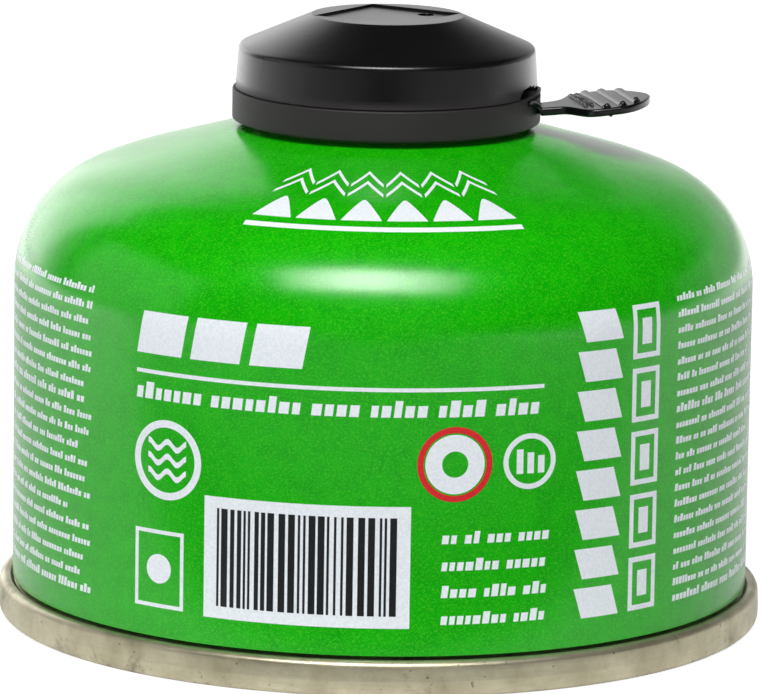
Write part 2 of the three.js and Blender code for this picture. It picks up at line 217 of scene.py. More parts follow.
def make_piece(
    name: str, surface: Surface, material: bpy.types.Material, stands_for: tuple[str, ...] = ()
) -> None:
    """Writes a surface as a Blender object that rides on the body.

    Args:
        name: the piece's name.
        surface: its mesh in millimetres.
        material: its finish.
        stands_for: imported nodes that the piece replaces.
    """
    mesh = bpy.data.meshes.new(name)
    loops = np.concatenate([surface.quads.ravel(), surface.tris.ravel()]).astype(np.int32)
    sizes = np.concatenate([np.full(len(surface.quads), 4), np.full(len(surface.tris), 3)])
    mesh.vertices.add(len(surface.verts))
    mesh.vertices.foreach_set("co", (surface.verts * MM).astype(np.float32).ravel())
    mesh.loops.add(len(loops))
    mesh.loops.foreach_set("vertex_index", loops)
    mesh.polygons.add(len(sizes))
    starts = np.concatenate([[0], np.cumsum(sizes)[:-1]]).astype(np.int32)
    mesh.polygons.foreach_set("loop_start", starts)
    mesh.update(calc_edges=True)
    mesh.validate()
    mesh.shade_smooth()
    mesh.set_sharp_from_angle(angle=math.radians(CREASE))
    mesh.materials.append(material)
    piece = bpy.data.objects.new(name, mesh)
    bpy.context.scene.collection.objects.link(piece)
    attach(piece, BODY)
    if stands_for:
        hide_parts(*stands_for)
    LOG.info("%s: %d faces", name, len(sizes))


# Materials


class Range(IntEnum):
    """Input sockets of a Map Range node."""

    VALUE = 0
    LOW = 1
    HIGH = 2
    TO_LOW = 3
    TO_HIGH = 4


class Blend(IntEnum):
    """Input sockets of a Mix node: the share of B, then a pair of numbers or a pair of colours."""

    SHARE = 0
    NUMBER_A = 2
    NUMBER_B = 3
    COLOUR_A = 6
    COLOUR_B = 7


BLENDED_COLOUR = 2  # the Mix node's output socket for a colour


def linear(code: str) -> tuple[float, float, float, float]:
    """An sRGB hex colour as linear RGBA."""
    values = [int(code[i : i + 2], 16) / 255 for i in (1, 3, 5)]
    return tuple(v / 12.92 if v <= 0.04045 else ((v + 0.055) / 1.055) ** 2.4 for v in values) + (1.0,)


def per_mm(size: float) -> float:
    """Texture scale, in repeats for each metre, of a pattern whose features are size millimetres apart."""
    return 1 / (size * MM)


def set_sockets(tree: bpy.types.NodeTree, node: bpy.types.Node, inputs: dict[Any, Any]) -> None:
    """Sets or links a node's input sockets.

    Args:
        tree: the node tree.
        node: the node.
        inputs: socket name or index to a value, to an output socket, or to a node's first output.
    """
    for name, value in inputs.items():
        source = value.outputs[0] if isinstance(value, bpy.types.Node) else value
        if isinstance(source, bpy.types.NodeSocket):
            tree.links.new(source, node.inputs[name])
        else:
            node.inputs[name].default_value = source


def add_node(
    tree: bpy.types.NodeTree, kind: str, inputs: dict[Any, Any] | None = None, **settings: Any
) -> bpy.types.Node:
    """Adds a node with its settings and links.

    Args:
        tree: the node tree.
        kind: the node's type name.
        inputs: its input sockets, as set_sockets takes them.
        settings: properties of the node itself.

    Returns:
        The node.
    """
    node = tree.nodes.new(kind)
    for name, value in settings.items():
        setattr(node, name, value)
    set_sockets(tree, node, inputs or {})
    return node


def empty_tree(owner: bpy.types.Material | bpy.types.World) -> bpy.types.NodeTree:
    """Gives a material or a world an empty node tree.

    Args:
        owner: a new material or world.

    Returns:
        Its tree.
    """
    owner.use_nodes = True
    owner.node_tree.nodes.clear()
    return owner.node_tree


def new_material(name: str) -> tuple[bpy.types.Material, bpy.types.NodeTree, bpy.types.Node]:
    """A material that holds one principled shader and its output.

    Args:
        name: the real material and its finish.

    Returns:
        The material, its tree and its shader node.
    """
    material = bpy.data.materials.new(name)
    tree = empty_tree(material)
    shader = add_node(tree, "ShaderNodeBsdfPrincipled")
    add_node(tree, "ShaderNodeOutputMaterial", {"Surface": shader})
    return material, tree, shader


def tinted(tree: bpy.types.NodeTree, ground: str, layers: tuple[tuple, ...]) -> bpy.types.NodeSocket:
    """Lays tints over a ground colour, each where its pattern is high.

    Args:
        tree: the node tree.
        ground: the ground colour's hex code.
        layers: for each tint its pattern, the levels where it starts and is full, its most, and its code.

    Returns:
        The socket that gives the colour.
    """
    colour: Any = linear(ground)
    for pattern, low, high, most, tint in layers:
        share = add_node(
            tree, "ShaderNodeMapRange",
            {Range.VALUE: pattern, Range.LOW: low, Range.HIGH: high, Range.TO_HIGH: most},
        )
        colour = add_node(
            tree, "ShaderNodeMix",
            {Blend.SHARE: share, Blend.COLOUR_A: colour, Blend.COLOUR_B: linear(tint)},
            data_type="RGBA",
        ).outputs[BLENDED_COLOUR]
    return colour


@dataclass(frozen=True)
class StovedLacquer:
    """Green lacquer, roller-coated on sheet steel and stoved.

    The roller leaves a fine wrinkle, so the gloss breaks into short bright worms a fifth of a
    millimetre apart, and edges of reflected light look frayed. The pigment clouds a little. The wrinkle's
    crests are tinted a yellower green: partly flecks of pigment, partly painted highlight.
    """

    colour: str = "#08A902"
    deep: str = "#039E03"
    # yellower green on the wrinkle's crests: partly flecks of pigment, partly painted highlight
    crest_flecks_and_highlight: str = "#35B60F"
    wrinkle: float = 0.21  # mm between ridges
    ridge: float = 0.03  # mm from trough to crest
    cloud: float = 2.2  # mm across a cloud of pigment
    roughness: float = 0.2

    def material(self) -> bpy.types.Material:
        """Builds the node material.

        Returns:
            The material.
        """
        material, tree, shader = new_material("green lacquer, roller-coated and stoved")
        at = add_node(tree, "ShaderNodeTexCoord").outputs["Object"]
        ridges = add_node(
            tree, "ShaderNodeTexNoise",
            {
                "Vector": at, "Scale": per_mm(self.wrinkle), "Detail": 2.0, "Roughness": 0.6,
                "Distortion": 0.4,
            },
        )
        clouds = add_node(
            tree, "ShaderNodeTexNoise", {"Vector": at, "Scale": per_mm(self.cloud), "Detail": 2.0}
        )
        # The second layer tints the wrinkle's crests yellower: flecks of pigment, and partly painted
        # highlight.
        colour = tinted(tree, self.colour, (
            (clouds, 0.35, 0.65, 1.0, self.deep), (ridges, 0.48, 0.66, 0.9, self.crest_flecks_and_highlight),
        ))
        bump = add_node(
            tree, "ShaderNodeBump", {"Strength": 0.22, "Distance": self.ridge * MM, "Height": ridges}
        )
        set_sockets(tree, shader, {"Base Color": colour, "Roughness": self.roughness, "Normal": bump})
        return material


@dataclass(frozen=True)
class ScreenInk:
    """Screen ink over the lacquer: an even opaque film, a touch duller than the paint round it."""

    name: str
    colour: str
    shade: str
    grain: float = 0.3  # mm between the thin places
    roughness: float = 0.32

    def material(self) -> bpy.types.Material:
        """Builds the node material.

        Returns:
            The material.
        """
        material, tree, shader = new_material(self.name)
        at = add_node(tree, "ShaderNodeTexCoord").outputs["Object"]
        ridges = add_node(
            tree, "ShaderNodeTexNoise", {"Vector": at, "Scale": per_mm(self.grain), "Detail": 2.0}
        )
        colour = tinted(tree, self.colour, ((ridges, 0.35, 0.65, 1.0, self.shade),))
        bump = add_node(tree, "ShaderNodeBump", {"Strength": 0.08, "Distance": 0.03 * MM, "Height": ridges})
        set_sockets(tree, shader, {"Base Color": colour, "Roughness": self.roughness, "Normal": bump})
        return material


@dataclass(frozen=True)
class DrawnTinplate:
    """Bare drawn tinplate: a dull warm grey metal, streaked round the seam and smudged by handling."""

    name: str = "tinplate, drawn and seamed, bare"
    colour: str = "#C9C2A8"
    shade: str = "#A9A186"
    smudge: str = "#5E5646"
    roughness: float = 0.34
    marks: float = 1.0  # how much of the smudging shows
    cloud: float = 5.0  # mm across a dull cloud
    streak: float = 3.0  # mm along a streak, which is a ninth as high
    rub: float = 11.0  # mm across a rubbed patch
    speck: float = 0.7  # mm between the places of specks
    grain: float = 0.5  # mm between the surface's fine bumps

    def material(self) -> bpy.types.Material:
        """Builds the node material.

        Returns:
            The material.
        """
        material, tree, shader = new_material(self.name)
        at = add_node(tree, "ShaderNodeTexCoord").outputs["Object"]
        squeezed = add_node(tree, "ShaderNodeMapping", {"Vector": at, "Scale": (1.0, 1.0, 9.0)})
        clouds, streaks, rubbed, specks, grain = [
            add_node(tree, "ShaderNodeTexNoise", {"Vector": place, "Scale": per_mm(size), **more})
            for place, size, more in (
                (at, self.cloud, {"Detail": 5.0, "Roughness": 0.62}),
                (squeezed, self.streak, {"Detail": 4.0}),
                (at, self.rub, {"Detail": 6.0, "Roughness": 0.66, "Distortion": 0.5}),
                (at, self.speck, {"Detail": 1.0}),
                (at, self.grain, {"Detail": 3.0}),
            )
        ]
        colour = tinted(tree, self.colour, (
            (clouds, 0.35, 0.68, 1.0, self.shade),
            (streaks, 0.5, 0.72, 0.35, self.shade),
            (rubbed, 0.57, 0.71, 0.8 * self.marks, self.smudge),
            (specks, 0.71, 0.75, 0.6 * self.marks, self.smudge),
        ))
        bump = add_node(tree, "ShaderNodeBump", {"Strength": 0.1, "Distance": 0.03 * MM, "Height": grain})
        rough = add_node(tree, "ShaderNodeMapRange", {
            Range.VALUE: rubbed, Range.LOW: 0.4, Range.HIGH: 0.7,
            Range.TO_LOW: self.roughness, Range.TO_HIGH: self.roughness + 0.2,
        })
        set_sockets(tree, shader, {
            "Base Color": colour, "Metallic": 0.85, "Roughness": rough, "Normal": bump,
        })
        return material


@dataclass(frozen=True)
class MouldedPolypropylene:
    """Black polypropylene, injection moulded: satin from a polished mould, uneven where the melt flowed.

    The part of the mould for the tear band was spark-eroded, so the plastic is matt and paler there.
    """

    name: str
    colour: str = "#060607"
    worn: str = "#0C0C0D"
    pale: str = "#201B1D"
    grain: float = 0.16  # mm between the mould's fine marks
    flow: float = 9.0  # mm across a field of even gloss
    roughness: float = 0.26
    matt: float = 0.6  # roughness of the eroded part
    matt_below: float = 0.0  # height in mm up to which the surface is matt
    fade: float = 1.0  # mm over which matt gives way to gloss

    def material(self) -> bpy.types.Material:
        """Builds the node material.

        Returns:
            The material.
        """
        material, tree, shader = new_material(self.name)
        at = add_node(tree, "ShaderNodeTexCoord").outputs["Object"]
        height = add_node(tree, "ShaderNodeSeparateXYZ", {"Vector": at}).outputs["Z"]
        grain = add_node(
            tree, "ShaderNodeTexNoise", {"Vector": at, "Scale": per_mm(self.grain), "Detail": 2.0}
        )
        flow = add_node(
            tree, "ShaderNodeTexNoise", {"Vector": at, "Scale": per_mm(self.flow), "Detail": 0.0}
        )
        share = add_node(
            tree, "ShaderNodeMapRange", {Range.VALUE: flow, Range.LOW: 0.3, Range.HIGH: 0.8},
            interpolation_type="SMOOTHSTEP",
        )
        satin = add_node(
            tree, "ShaderNodeMapRange",
            {
                Range.VALUE: flow, Range.LOW: 0.1, Range.HIGH: 0.9,
                Range.TO_LOW: self.roughness - 0.01, Range.TO_HIGH: self.roughness + 0.03,
            },
            interpolation_type="SMOOTHSTEP",
        )
        low, high = self.matt_below * MM, (self.matt_below + self.fade) * MM
        above = add_node(
            tree, "ShaderNodeMapRange", {Range.VALUE: height, Range.LOW: low, Range.HIGH: high}
        )
        rough = add_node(
            tree, "ShaderNodeMix", {Blend.SHARE: above, Blend.NUMBER_A: self.matt, Blend.NUMBER_B: satin},
            data_type="FLOAT",
        )
        glossy = add_node(
            tree, "ShaderNodeMix",
            {Blend.SHARE: share, Blend.COLOUR_A: linear(self.colour), Blend.COLOUR_B: linear(self.worn)},
            data_type="RGBA",
        ).outputs[BLENDED_COLOUR]
        colour = add_node(
            tree, "ShaderNodeMix",
            {Blend.SHARE: above, Blend.COLOUR_A: linear(self.pale), Blend.COLOUR_B: glossy},
            data_type="RGBA",
        ).outputs[BLENDED_COLOUR]
        bump = add_node(tree, "ShaderNodeBump", {"Strength": 0.1, "Distance": 0.02 * MM, "Height": grain})
        set_sockets(tree, shader, {"Base Color": colour, "Roughness": rough, "Normal": bump})
        return material


@dataclass(frozen=True)
class SealRubber:
    """Black nitrile rubber, compression moulded: matt and faintly grained."""

    colour: str = "#1A1A1A"
    grain: float = 0.3  # mm between the mould's marks

    def material(self) -> bpy.types.Material:
        """Builds the node material.

        Returns:
            The material.
        """
        material, tree, shader = new_material("black nitrile rubber, moulded")
        at = add_node(tree, "ShaderNodeTexCoord").outputs["Object"]
        grain = add_node(
            tree, "ShaderNodeTexNoise", {"Vector": at, "Scale": per_mm(self.grain), "Detail": 3.0}
        )
        bump = add_node(tree, "ShaderNodeBump", {"Strength": 0.3, "Distance": 0.03 * MM, "Height": grain})
        set_sockets(tree, shader, {"Base Color": linear(self.colour), "Roughness": 0.7, "Normal": bump})
        return material


# The can


@dataclass
class SteelShell:
    """Drawn steel shell: straight wall, round shoulder, flatter crown and a cone up to the neck."""

    wall_radius: float = field(default_factory=lambda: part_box("can_body")[1].x / MM)
    wall_bottom: float = field(default_factory=lambda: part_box("can_body")[0].z / MM)
    wall_top: float = 39.9
    shoulder_radius: float = 13.9
    crown_radius: float = 53.5
    crown_start_slope: float = 21.6
    cone_slope: float = 15.8
    neck_radius: float = 14.65
    bead_radius: float = 1.0
    bead_rise: float = 1.6  # of its centre over the neck, in bead radii
    mouth_radius: float = 12.9
    floor_height: float = 55.8  # of the solid gas inside the mouth
    base_rise: float = 7.2
    base_gap: float = 0.5  # between the wall's bottom and the foot of the hidden underside
    points_round: int = 384

    def outline(self) -> np.ndarray:
        """The outer section from the wall's bottom to the neck: a line, two arcs and a line.

        Returns:
            Array (n, 2) of radius and height.
        """
        centre = (self.wall_radius - self.shoulder_radius, self.wall_top)
        turn = 90 - self.crown_start_slope
        reach = self.shoulder_radius - self.crown_radius
        crown = (
            centre[0] + reach * math.cos(math.radians(turn)),
            centre[1] + reach * math.sin(math.radians(turn)),
        )
        over_shoulder = arc(centre, self.shoulder_radius, 0, turn, 48)
        over_crown = arc(crown, self.crown_radius, turn, 90 - self.cone_slope, 10)[1:]
        last = over_crown[-1]
        neck_height = last[1] + (last[0] - self.neck_radius) * math.tan(math.radians(self.cone_slope))
        straight = np.array([[self.wall_radius, self.wall_bottom], [self.wall_radius, self.wall_top]])
        cone = np.array([last, [self.neck_radius, neck_height]])
        return np.concatenate([
            refined(straight, 1.2)[:-1], over_shoulder, over_crown, refined(cone, 0.7)[1:],
        ])

    def surface(self) -> Surface:
        """The shell as one closed surface. Its hidden underside follows the base panel, just above it.

        Returns:
            The surface.
        """
        outer = self.outline()
        neck = outer[-1]
        bead_middle = (self.mouth_radius + self.bead_radius, neck[1] + self.bead_rise * self.bead_radius)
        bead = arc(bead_middle, self.bead_radius, -40, 180, 16)
        under = self.wall_bottom + self.base_gap
        underside = np.array([
            [AXIS, under + self.base_rise], [20.0, under + self.base_rise * 0.76],
            [36.0, under + self.base_rise * 0.24],
            [self.wall_radius - 1.4, self.wall_bottom - 0.1], [self.wall_radius - 0.15, self.wall_bottom],
        ])
        floor = np.array([[self.mouth_radius, self.floor_height], [AXIS, self.floor_height]])
        section = np.concatenate([refined(underside, 4.0), outer, bead, refined(floor, 4.0)])
        return turned(section, self.points_round)

    def dress(self, paint: bpy.types.Material) -> None:
        """Makes the shell piece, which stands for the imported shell."""
        make_piece("steel_shell", self.surface(), paint, ("can_body",))


@dataclass
class SurfaceMap:
    """Turns flat artwork into places on the shell.

    Across is the distance round the wall from the middle of the front, and along the distance up the
    section from the wall's bottom, both in millimetres.
    """

    shell: SteelShell
    line: np.ndarray = field(init=False)
    length: np.ndarray = field(init=False)
    normal: np.ndarray = field(init=False)

    def __post_init__(self) -> None:
        """Works out the section's running length and its outward normals."""
        self.line = self.shell.outline()
        step = np.diff(self.line, axis=0)
        self.length = np.concatenate([[0], np.cumsum(np.linalg.norm(step, axis=1))])
        slope = np.gradient(self.line, self.length, axis=0)
        self.normal = np.stack([slope[:, 1], -slope[:, 0]], -1)

    def place(self, across: np.ndarray, along: np.ndarray, lift: float, girth: float) -> np.ndarray:
        """Places points on the shell.

        Args:
            across: distances to the right of the front's middle.
            along: distances up the section.
            lift: height above the surface.
            girth: radius at which across is a true length.

        Returns:
            Array with a last axis of x, y and z.
        """
        turn = across / girth - math.pi / 2
        radius = np.interp(along, self.length, self.line[:, 0])
        radius = radius + lift * np.interp(along, self.length, self.normal[:, 0])
        height = np.interp(along, self.length, self.line[:, 1])
        height = height + lift * np.interp(along, self.length, self.normal[:, 1])
        return np.stack([radius * np.cos(turn), radius * np.sin(turn), height], -1)


@dataclass
class Artwork:
    """Flat ink shapes, each a thin closed film that follows the shell."""

    chart: SurfaceMap
    girth: float
    film: float = 0.03  # mm above the paint
    root: float = 0.04  # mm into the paint, so that no gap shows
    parts: list[Surface] = field(default_factory=list)

    def patch(self, across: np.ndarray, along: np.ndarray) -> None:
        """Adds a film over a grid of chart points.

        Args:
            across: array (rows, columns), or one row of it, growing with the second index.
            along: array (rows, columns).
        """
        outer = self.chart.place(across, along, self.film, self.girth)
        inner = self.chart.place(across, along, -self.root, self.girth)
        loops = np.concatenate([outer, inner[:, ::-1]], axis=1)
        rows, cols = loops.shape[:2]
        body = skin(loops)
        half = cols // 2
        j = np.arange(half - 1)
        low = np.stack([j + 1, j, cols - 1 - j, cols - 2 - j], -1)
        high = (rows - 1) * cols + np.stack([j, j + 1, cols - 2 - j, cols - 1 - j], -1)
        self.parts.append(Surface(body.verts, np.concatenate([body.quads, low, high]), body.tris))

    def band(
        self, left: float, right: float, low: float, high: float, lean: float = 0.0, step: float = 0.8
    ) -> None:
        """Adds a bar.

        Args:
            left, right, low, high: its sides.
            lean: shift of its top to the right.
            step: the longest side of a face.
        """
        cols = max(2, math.ceil((right - left) / step) + 1)
        rows = max(2, math.ceil((high - low) / step) + 1)
        v = np.linspace(0, 1, rows)[:, None]
        u = np.linspace(left, right, cols)[None, :]
        self.patch(u + lean * v, np.broadcast_to(low + (high - low) * v, (rows, cols)))

    def between(
        self, left: float, right: float, lower: Callable, upper: Callable, step: float = 0.35
    ) -> None:
        """Adds the field between two curves.

        Args:
            left, right: its sides.
            lower, upper: height of each curve as a function of the distance across.
            step: the longest side of a face.
        """
        cols = max(3, math.ceil((right - left) / step) + 1)
        u = np.linspace(left, right, cols)[None, :]
        low, high = lower(u), upper(u)
        rows = max(2, math.ceil(float((high - low).max()) / step) + 1)
        v = np.linspace(0, 1, rows)[:, None]
        self.patch(np.broadcast_to(u, (rows, cols)), low + (high - low) * v)

    def ring(self, x: float, y: float, outer: float, inner: float, step: float = 0.8) -> None:
        """Adds a ring.

        Args:
            x, y: its centre.
            outer, inner: its radii.
            step: the longest radial side of a face.
        """
        t = np.radians(np.linspace(360, 0, 53))[None, :]
        r = np.linspace(inner, outer, max(2, math.ceil((outer - inner) / step) + 1))[:, None]
        self.patch(x + r * np.cos(t), y + r * np.sin(t))

    def disc(self, x: float, y: float, radius: float) -> None:
        """Adds a filled disc."""
        self.ring(x, y, radius, 0.02)

    def frame_box(self, left: float, right: float, low: float, high: float, line: float) -> None:
        """Adds a rectangle's outline.

        Args:
            left, right, low, high: its outer sides.
            line: the line's width.
        """
        self.band(left, right, low, low + line)
        self.band(left, right, high - line, high)
        self.band(left, left + line, low + line, high - line)
        self.band(right - line, right, low + line, high - line)

    def marks(self, left: float, right: float, low: float, height: float, rng: np.random.Generator) -> None:
        """Adds a line of short upright marks in uneven groups, which stands for small print.

        Args:
            left, right: its ends.
            low: its lower edge.
            height: of its tallest marks.
            rng: source of the uneven sizes.
        """
        x = left
        while x < right - 1.0:
            for _ in range(int(rng.integers(2, 9))):
                wide = float(rng.uniform(0.4, 0.62)) * height
                tall = height * float(rng.choice([0.7, 0.7, 0.7, 1.0]))
                if x + wide > right:
                    break
                self.band(x, x + wide, low, low + tall, lean=tall * 0.12, step=1.6)
                x += wide + 0.2 * height
            x += 0.5 * height

    def surface(self) -> Surface:
        """All the shapes as one mesh."""
        return Surface.joined(self.parts)


@dataclass
class Print:
    """The generic print: plain bars, rings, chevrons and rows of marks in white, black and red.

    Its places are millimetres on the chart, across from the front's middle and along from the foot.
    """

    chart: SurfaceMap
    white: str = "#E9EEF3"
    foot: float = 3.2  # lower margin
    left: float = -30.0  # left margin of the front
    right: float = 18.8  # right margin of the headline
    target: tuple[float, float] = (8.4, 22.0)  # centre of the disc badge
    crown_girth: float = 33.5  # radius of the crown where its artwork has true lengths

    def wall_white(self) -> Artwork:
        """White shapes on the straight wall.

        Returns:
            The artwork.
        """
        art = Artwork(self.chart, self.chart.shell.wall_radius)
        rng = np.random.default_rng(7)
        self.small_print(art, -63.0, -37.5, rng)
        self.small_print(art, 38.5, 64.0, rng)
        self.tall_columns(art)
        self.headline(art)
        self.badges(art)
        art.band(-20.5, 3.5, self.foot, 17.2)
        return art

    def small_print(self, art: Artwork, left: float, right: float, rng: np.random.Generator) -> None:
        """A block of 20 lines of marks. Every fourth is shorter, and two are a little higher.

        Args:
            art: the artwork that the lines join.
            left: where each line starts.
            right: where a full line ends.
            rng: source of the marks' uneven sizes.
        """
        pitch, height, bold = 1.84, 0.85, 1.0
        for n in range(20):
            ragged = float(rng.uniform(0, 5.5)) if n % 4 == 1 else 0.0
            art.marks(left, right - ragged, self.foot + n * pitch, bold if n in (0, 12) else height, rng)

    def tall_columns(self, art: Artwork) -> None:
        """Two tall columns: solid slanted blocks, and outlined ones beside them.

        Args:
            art: the artwork that the shapes join.
        """
        for n in range(8):
            low = self.foot + n * 4.55
            art.band(24.2, 29.4, low, low + 3.5, lean=-1.1)
        for n in range(5):
            low = self.foot + n * 7.3
            art.frame_box(30.9, 35.2, low, low + 6.2, 0.6)
            art.band(32.3, 33.8, low + 1.6, low + 4.6)

    def headline(self, art: Artwork) -> None:
        """Three heavy slanted bars over a thin rule and a line of marks.

        Args:
            art: the artwork that the shapes join.
        """
        for n in range(3):
            left = self.left + n * 7.4
            art.band(left, left + 6.2, 32.6, 37.4, lean=0.9)
        art.band(self.left, self.right, 30.3, 30.75)
        art.marks(self.left, self.right, 27.4, 1.9, np.random.default_rng(3))

    def badges(self, art: Artwork) -> None:
        """A ring with waves, a disc with a hole, a ring with bars, rows of marks, and a box with a dot.

        Args:
            art: the artwork that the shapes join.
        """
        art.ring(-25.6, 20.6, 4.6, 3.75)
        for n in range(3):
            middle = 18.9 + n * 1.7
            art.between(
                -28.2, -23.0, lambda u, m=middle: m - 0.33 + 0.45 * np.sin(u * 2.4),
                lambda u, m=middle: m + 0.33 + 0.45 * np.sin(u * 2.4),
            )
        art.ring(*self.target, 3.4, 1.5)
        art.ring(17.2, self.target[1], 3.2, 2.6)
        for n in range(3):
            art.band(15.6 + n * 1.3, 16.4 + n * 1.3, 20.6, 23.4 - 0.4 * n)
        for n in range(4):
            art.marks(7.0, 20.5, 3.6 + n * 3.1, 1.4, np.random.default_rng(20 + n))
        art.frame_box(self.left, -23.2, 3.4, 12.4, 0.45)
        art.disc(-26.6, 7.9, 1.7)

    def crown_white(self) -> Artwork:
        """White shapes on the crown: two rows of open peaks over a row of solid ones and a rule.

        Returns:
            The artwork.
        """
        art = Artwork(self.chart, self.crown_girth)
        for n in range(6):
            middle = -12.5 + n * 5.0
            art.between(
                middle - 2.2, middle + 2.2, lambda u: 0 * u + 51.6,
                lambda u, m=middle: 51.7 + 4.8 * (1 - (np.abs(u - m) / 2.2) ** 1.3),
            )
            for peak in (60.6, 63.2):
                art.between(
                    middle - 2.3, middle + 2.3, lambda u, m=middle, p=peak: p - 1.5 * np.abs(u - m),
                    lambda u, m=middle, p=peak: p + 0.8 - 1.5 * np.abs(u - m),
                )
        art.band(-15.0, 14.8, 49.6, 50.4)
        return art

    def bars_black(self) -> Artwork:
        """Black bars of uneven width on the white panel.

        Returns:
            The artwork.
        """
        art = Artwork(self.chart, self.chart.shell.wall_radius, film=0.05, root=0.0)
        rng = np.random.default_rng(11)
        x = -18.9
        while x < 1.4:
            wide = float(rng.choice([0.28, 0.28, 0.5, 0.78]))
            art.band(x, x + wide, 4.6, 15.9)
            x += wide + float(rng.choice([0.26, 0.34, 0.52]))
        return art

    def dot_red(self) -> Artwork:
        """A plain red ring round the disc badge.

        Returns:
            The artwork.
        """
        art = Artwork(self.chart, self.chart.shell.wall_radius)
        art.ring(*self.target, 4.3, 3.6)
        return art

    def dress(self) -> None:
        """Makes the three ink pieces."""
        white = ScreenInk("white screen ink", self.white, "#DDE4EA").material()
        black = ScreenInk("black screen ink", "#101214", "#1A1C1E").material()
        red = ScreenInk("red screen ink", "#D8262C", "#C81E26").material()
        surface = Surface.joined([self.wall_white().surface(), self.crown_white().surface()])
        make_piece("white_print", surface, white)
        make_piece("black_print", self.bars_black().surface(), black)
        make_piece("red_print", self.dot_red().surface(), red)


@dataclass
class BaseEnd:
    """Tinplate end: the rolled double seam that the can stands on, and a panel domed up into the can."""

    seam_radius: float = field(default_factory=lambda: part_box("base_end")[1].x / MM)
    seam_height: float = 4.2
    seam_thickness: float = 2.6
    edge: float = 0.95
    top_edge: float = 0.75
    sheet: float = 0.4
    panel_rise: float = 6.5
    panel_inset: float = 1.4  # from the seam's inner side to the dome's rim
    panel_lift: float = 0.1  # of the dome's rim over the seam
    points_round: int = 384

    def dome(self, lift: float) -> np.ndarray:
        """Section of the panel's dome, a shallow sphere, from the axis outwards.

        Args:
            lift: height of this face of the sheet over its lower face.

        Returns:
            Array (n, 2) of radius and height.
        """
        rim = self.seam_radius - self.seam_thickness - self.panel_inset
        ball = (rim**2 + self.panel_rise**2) / (2 * self.panel_rise)
        radius = np.linspace(AXIS, rim, 34)
        height = self.seam_height + self.panel_lift + self.panel_rise - ball + np.sqrt(ball**2 - radius**2)
        return np.stack([radius, height + lift], -1)

    def surface(self) -> Surface:
        """The whole end as one closed surface.

        Returns:
            The surface.
        """
        outer, inner = self.seam_radius, self.seam_radius - self.seam_thickness
        top = self.seam_height
        seam = rounded([
            (inner - self.panel_inset, top + self.panel_lift, 0), (inner - 0.1, top - 0.25, 0.9),
            (inner, 0, self.edge), (outer - 0.05, 0, self.edge),
            (outer, 1.9, 1.0), (outer - 0.12, top, self.top_edge), (outer - 1.35, top - 0.05, 0.35),
            (outer - 1.75, top - 0.45, 0.1), (outer - 2.6, top - 0.1, 0.1), (inner - 1.2, top + 0.45, 0),
        ], 8)
        section = np.concatenate([self.dome(0)[:-1], refined(seam, 0.6), self.dome(self.sheet)[::-1][1:]])
        return turned(section, self.points_round)

    def dress(self, tinplate: bpy.types.Material) -> None:
        """Makes the end piece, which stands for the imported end."""
        make_piece("tinplate_end", self.surface(), tinplate, ("base_end",))


# The cap


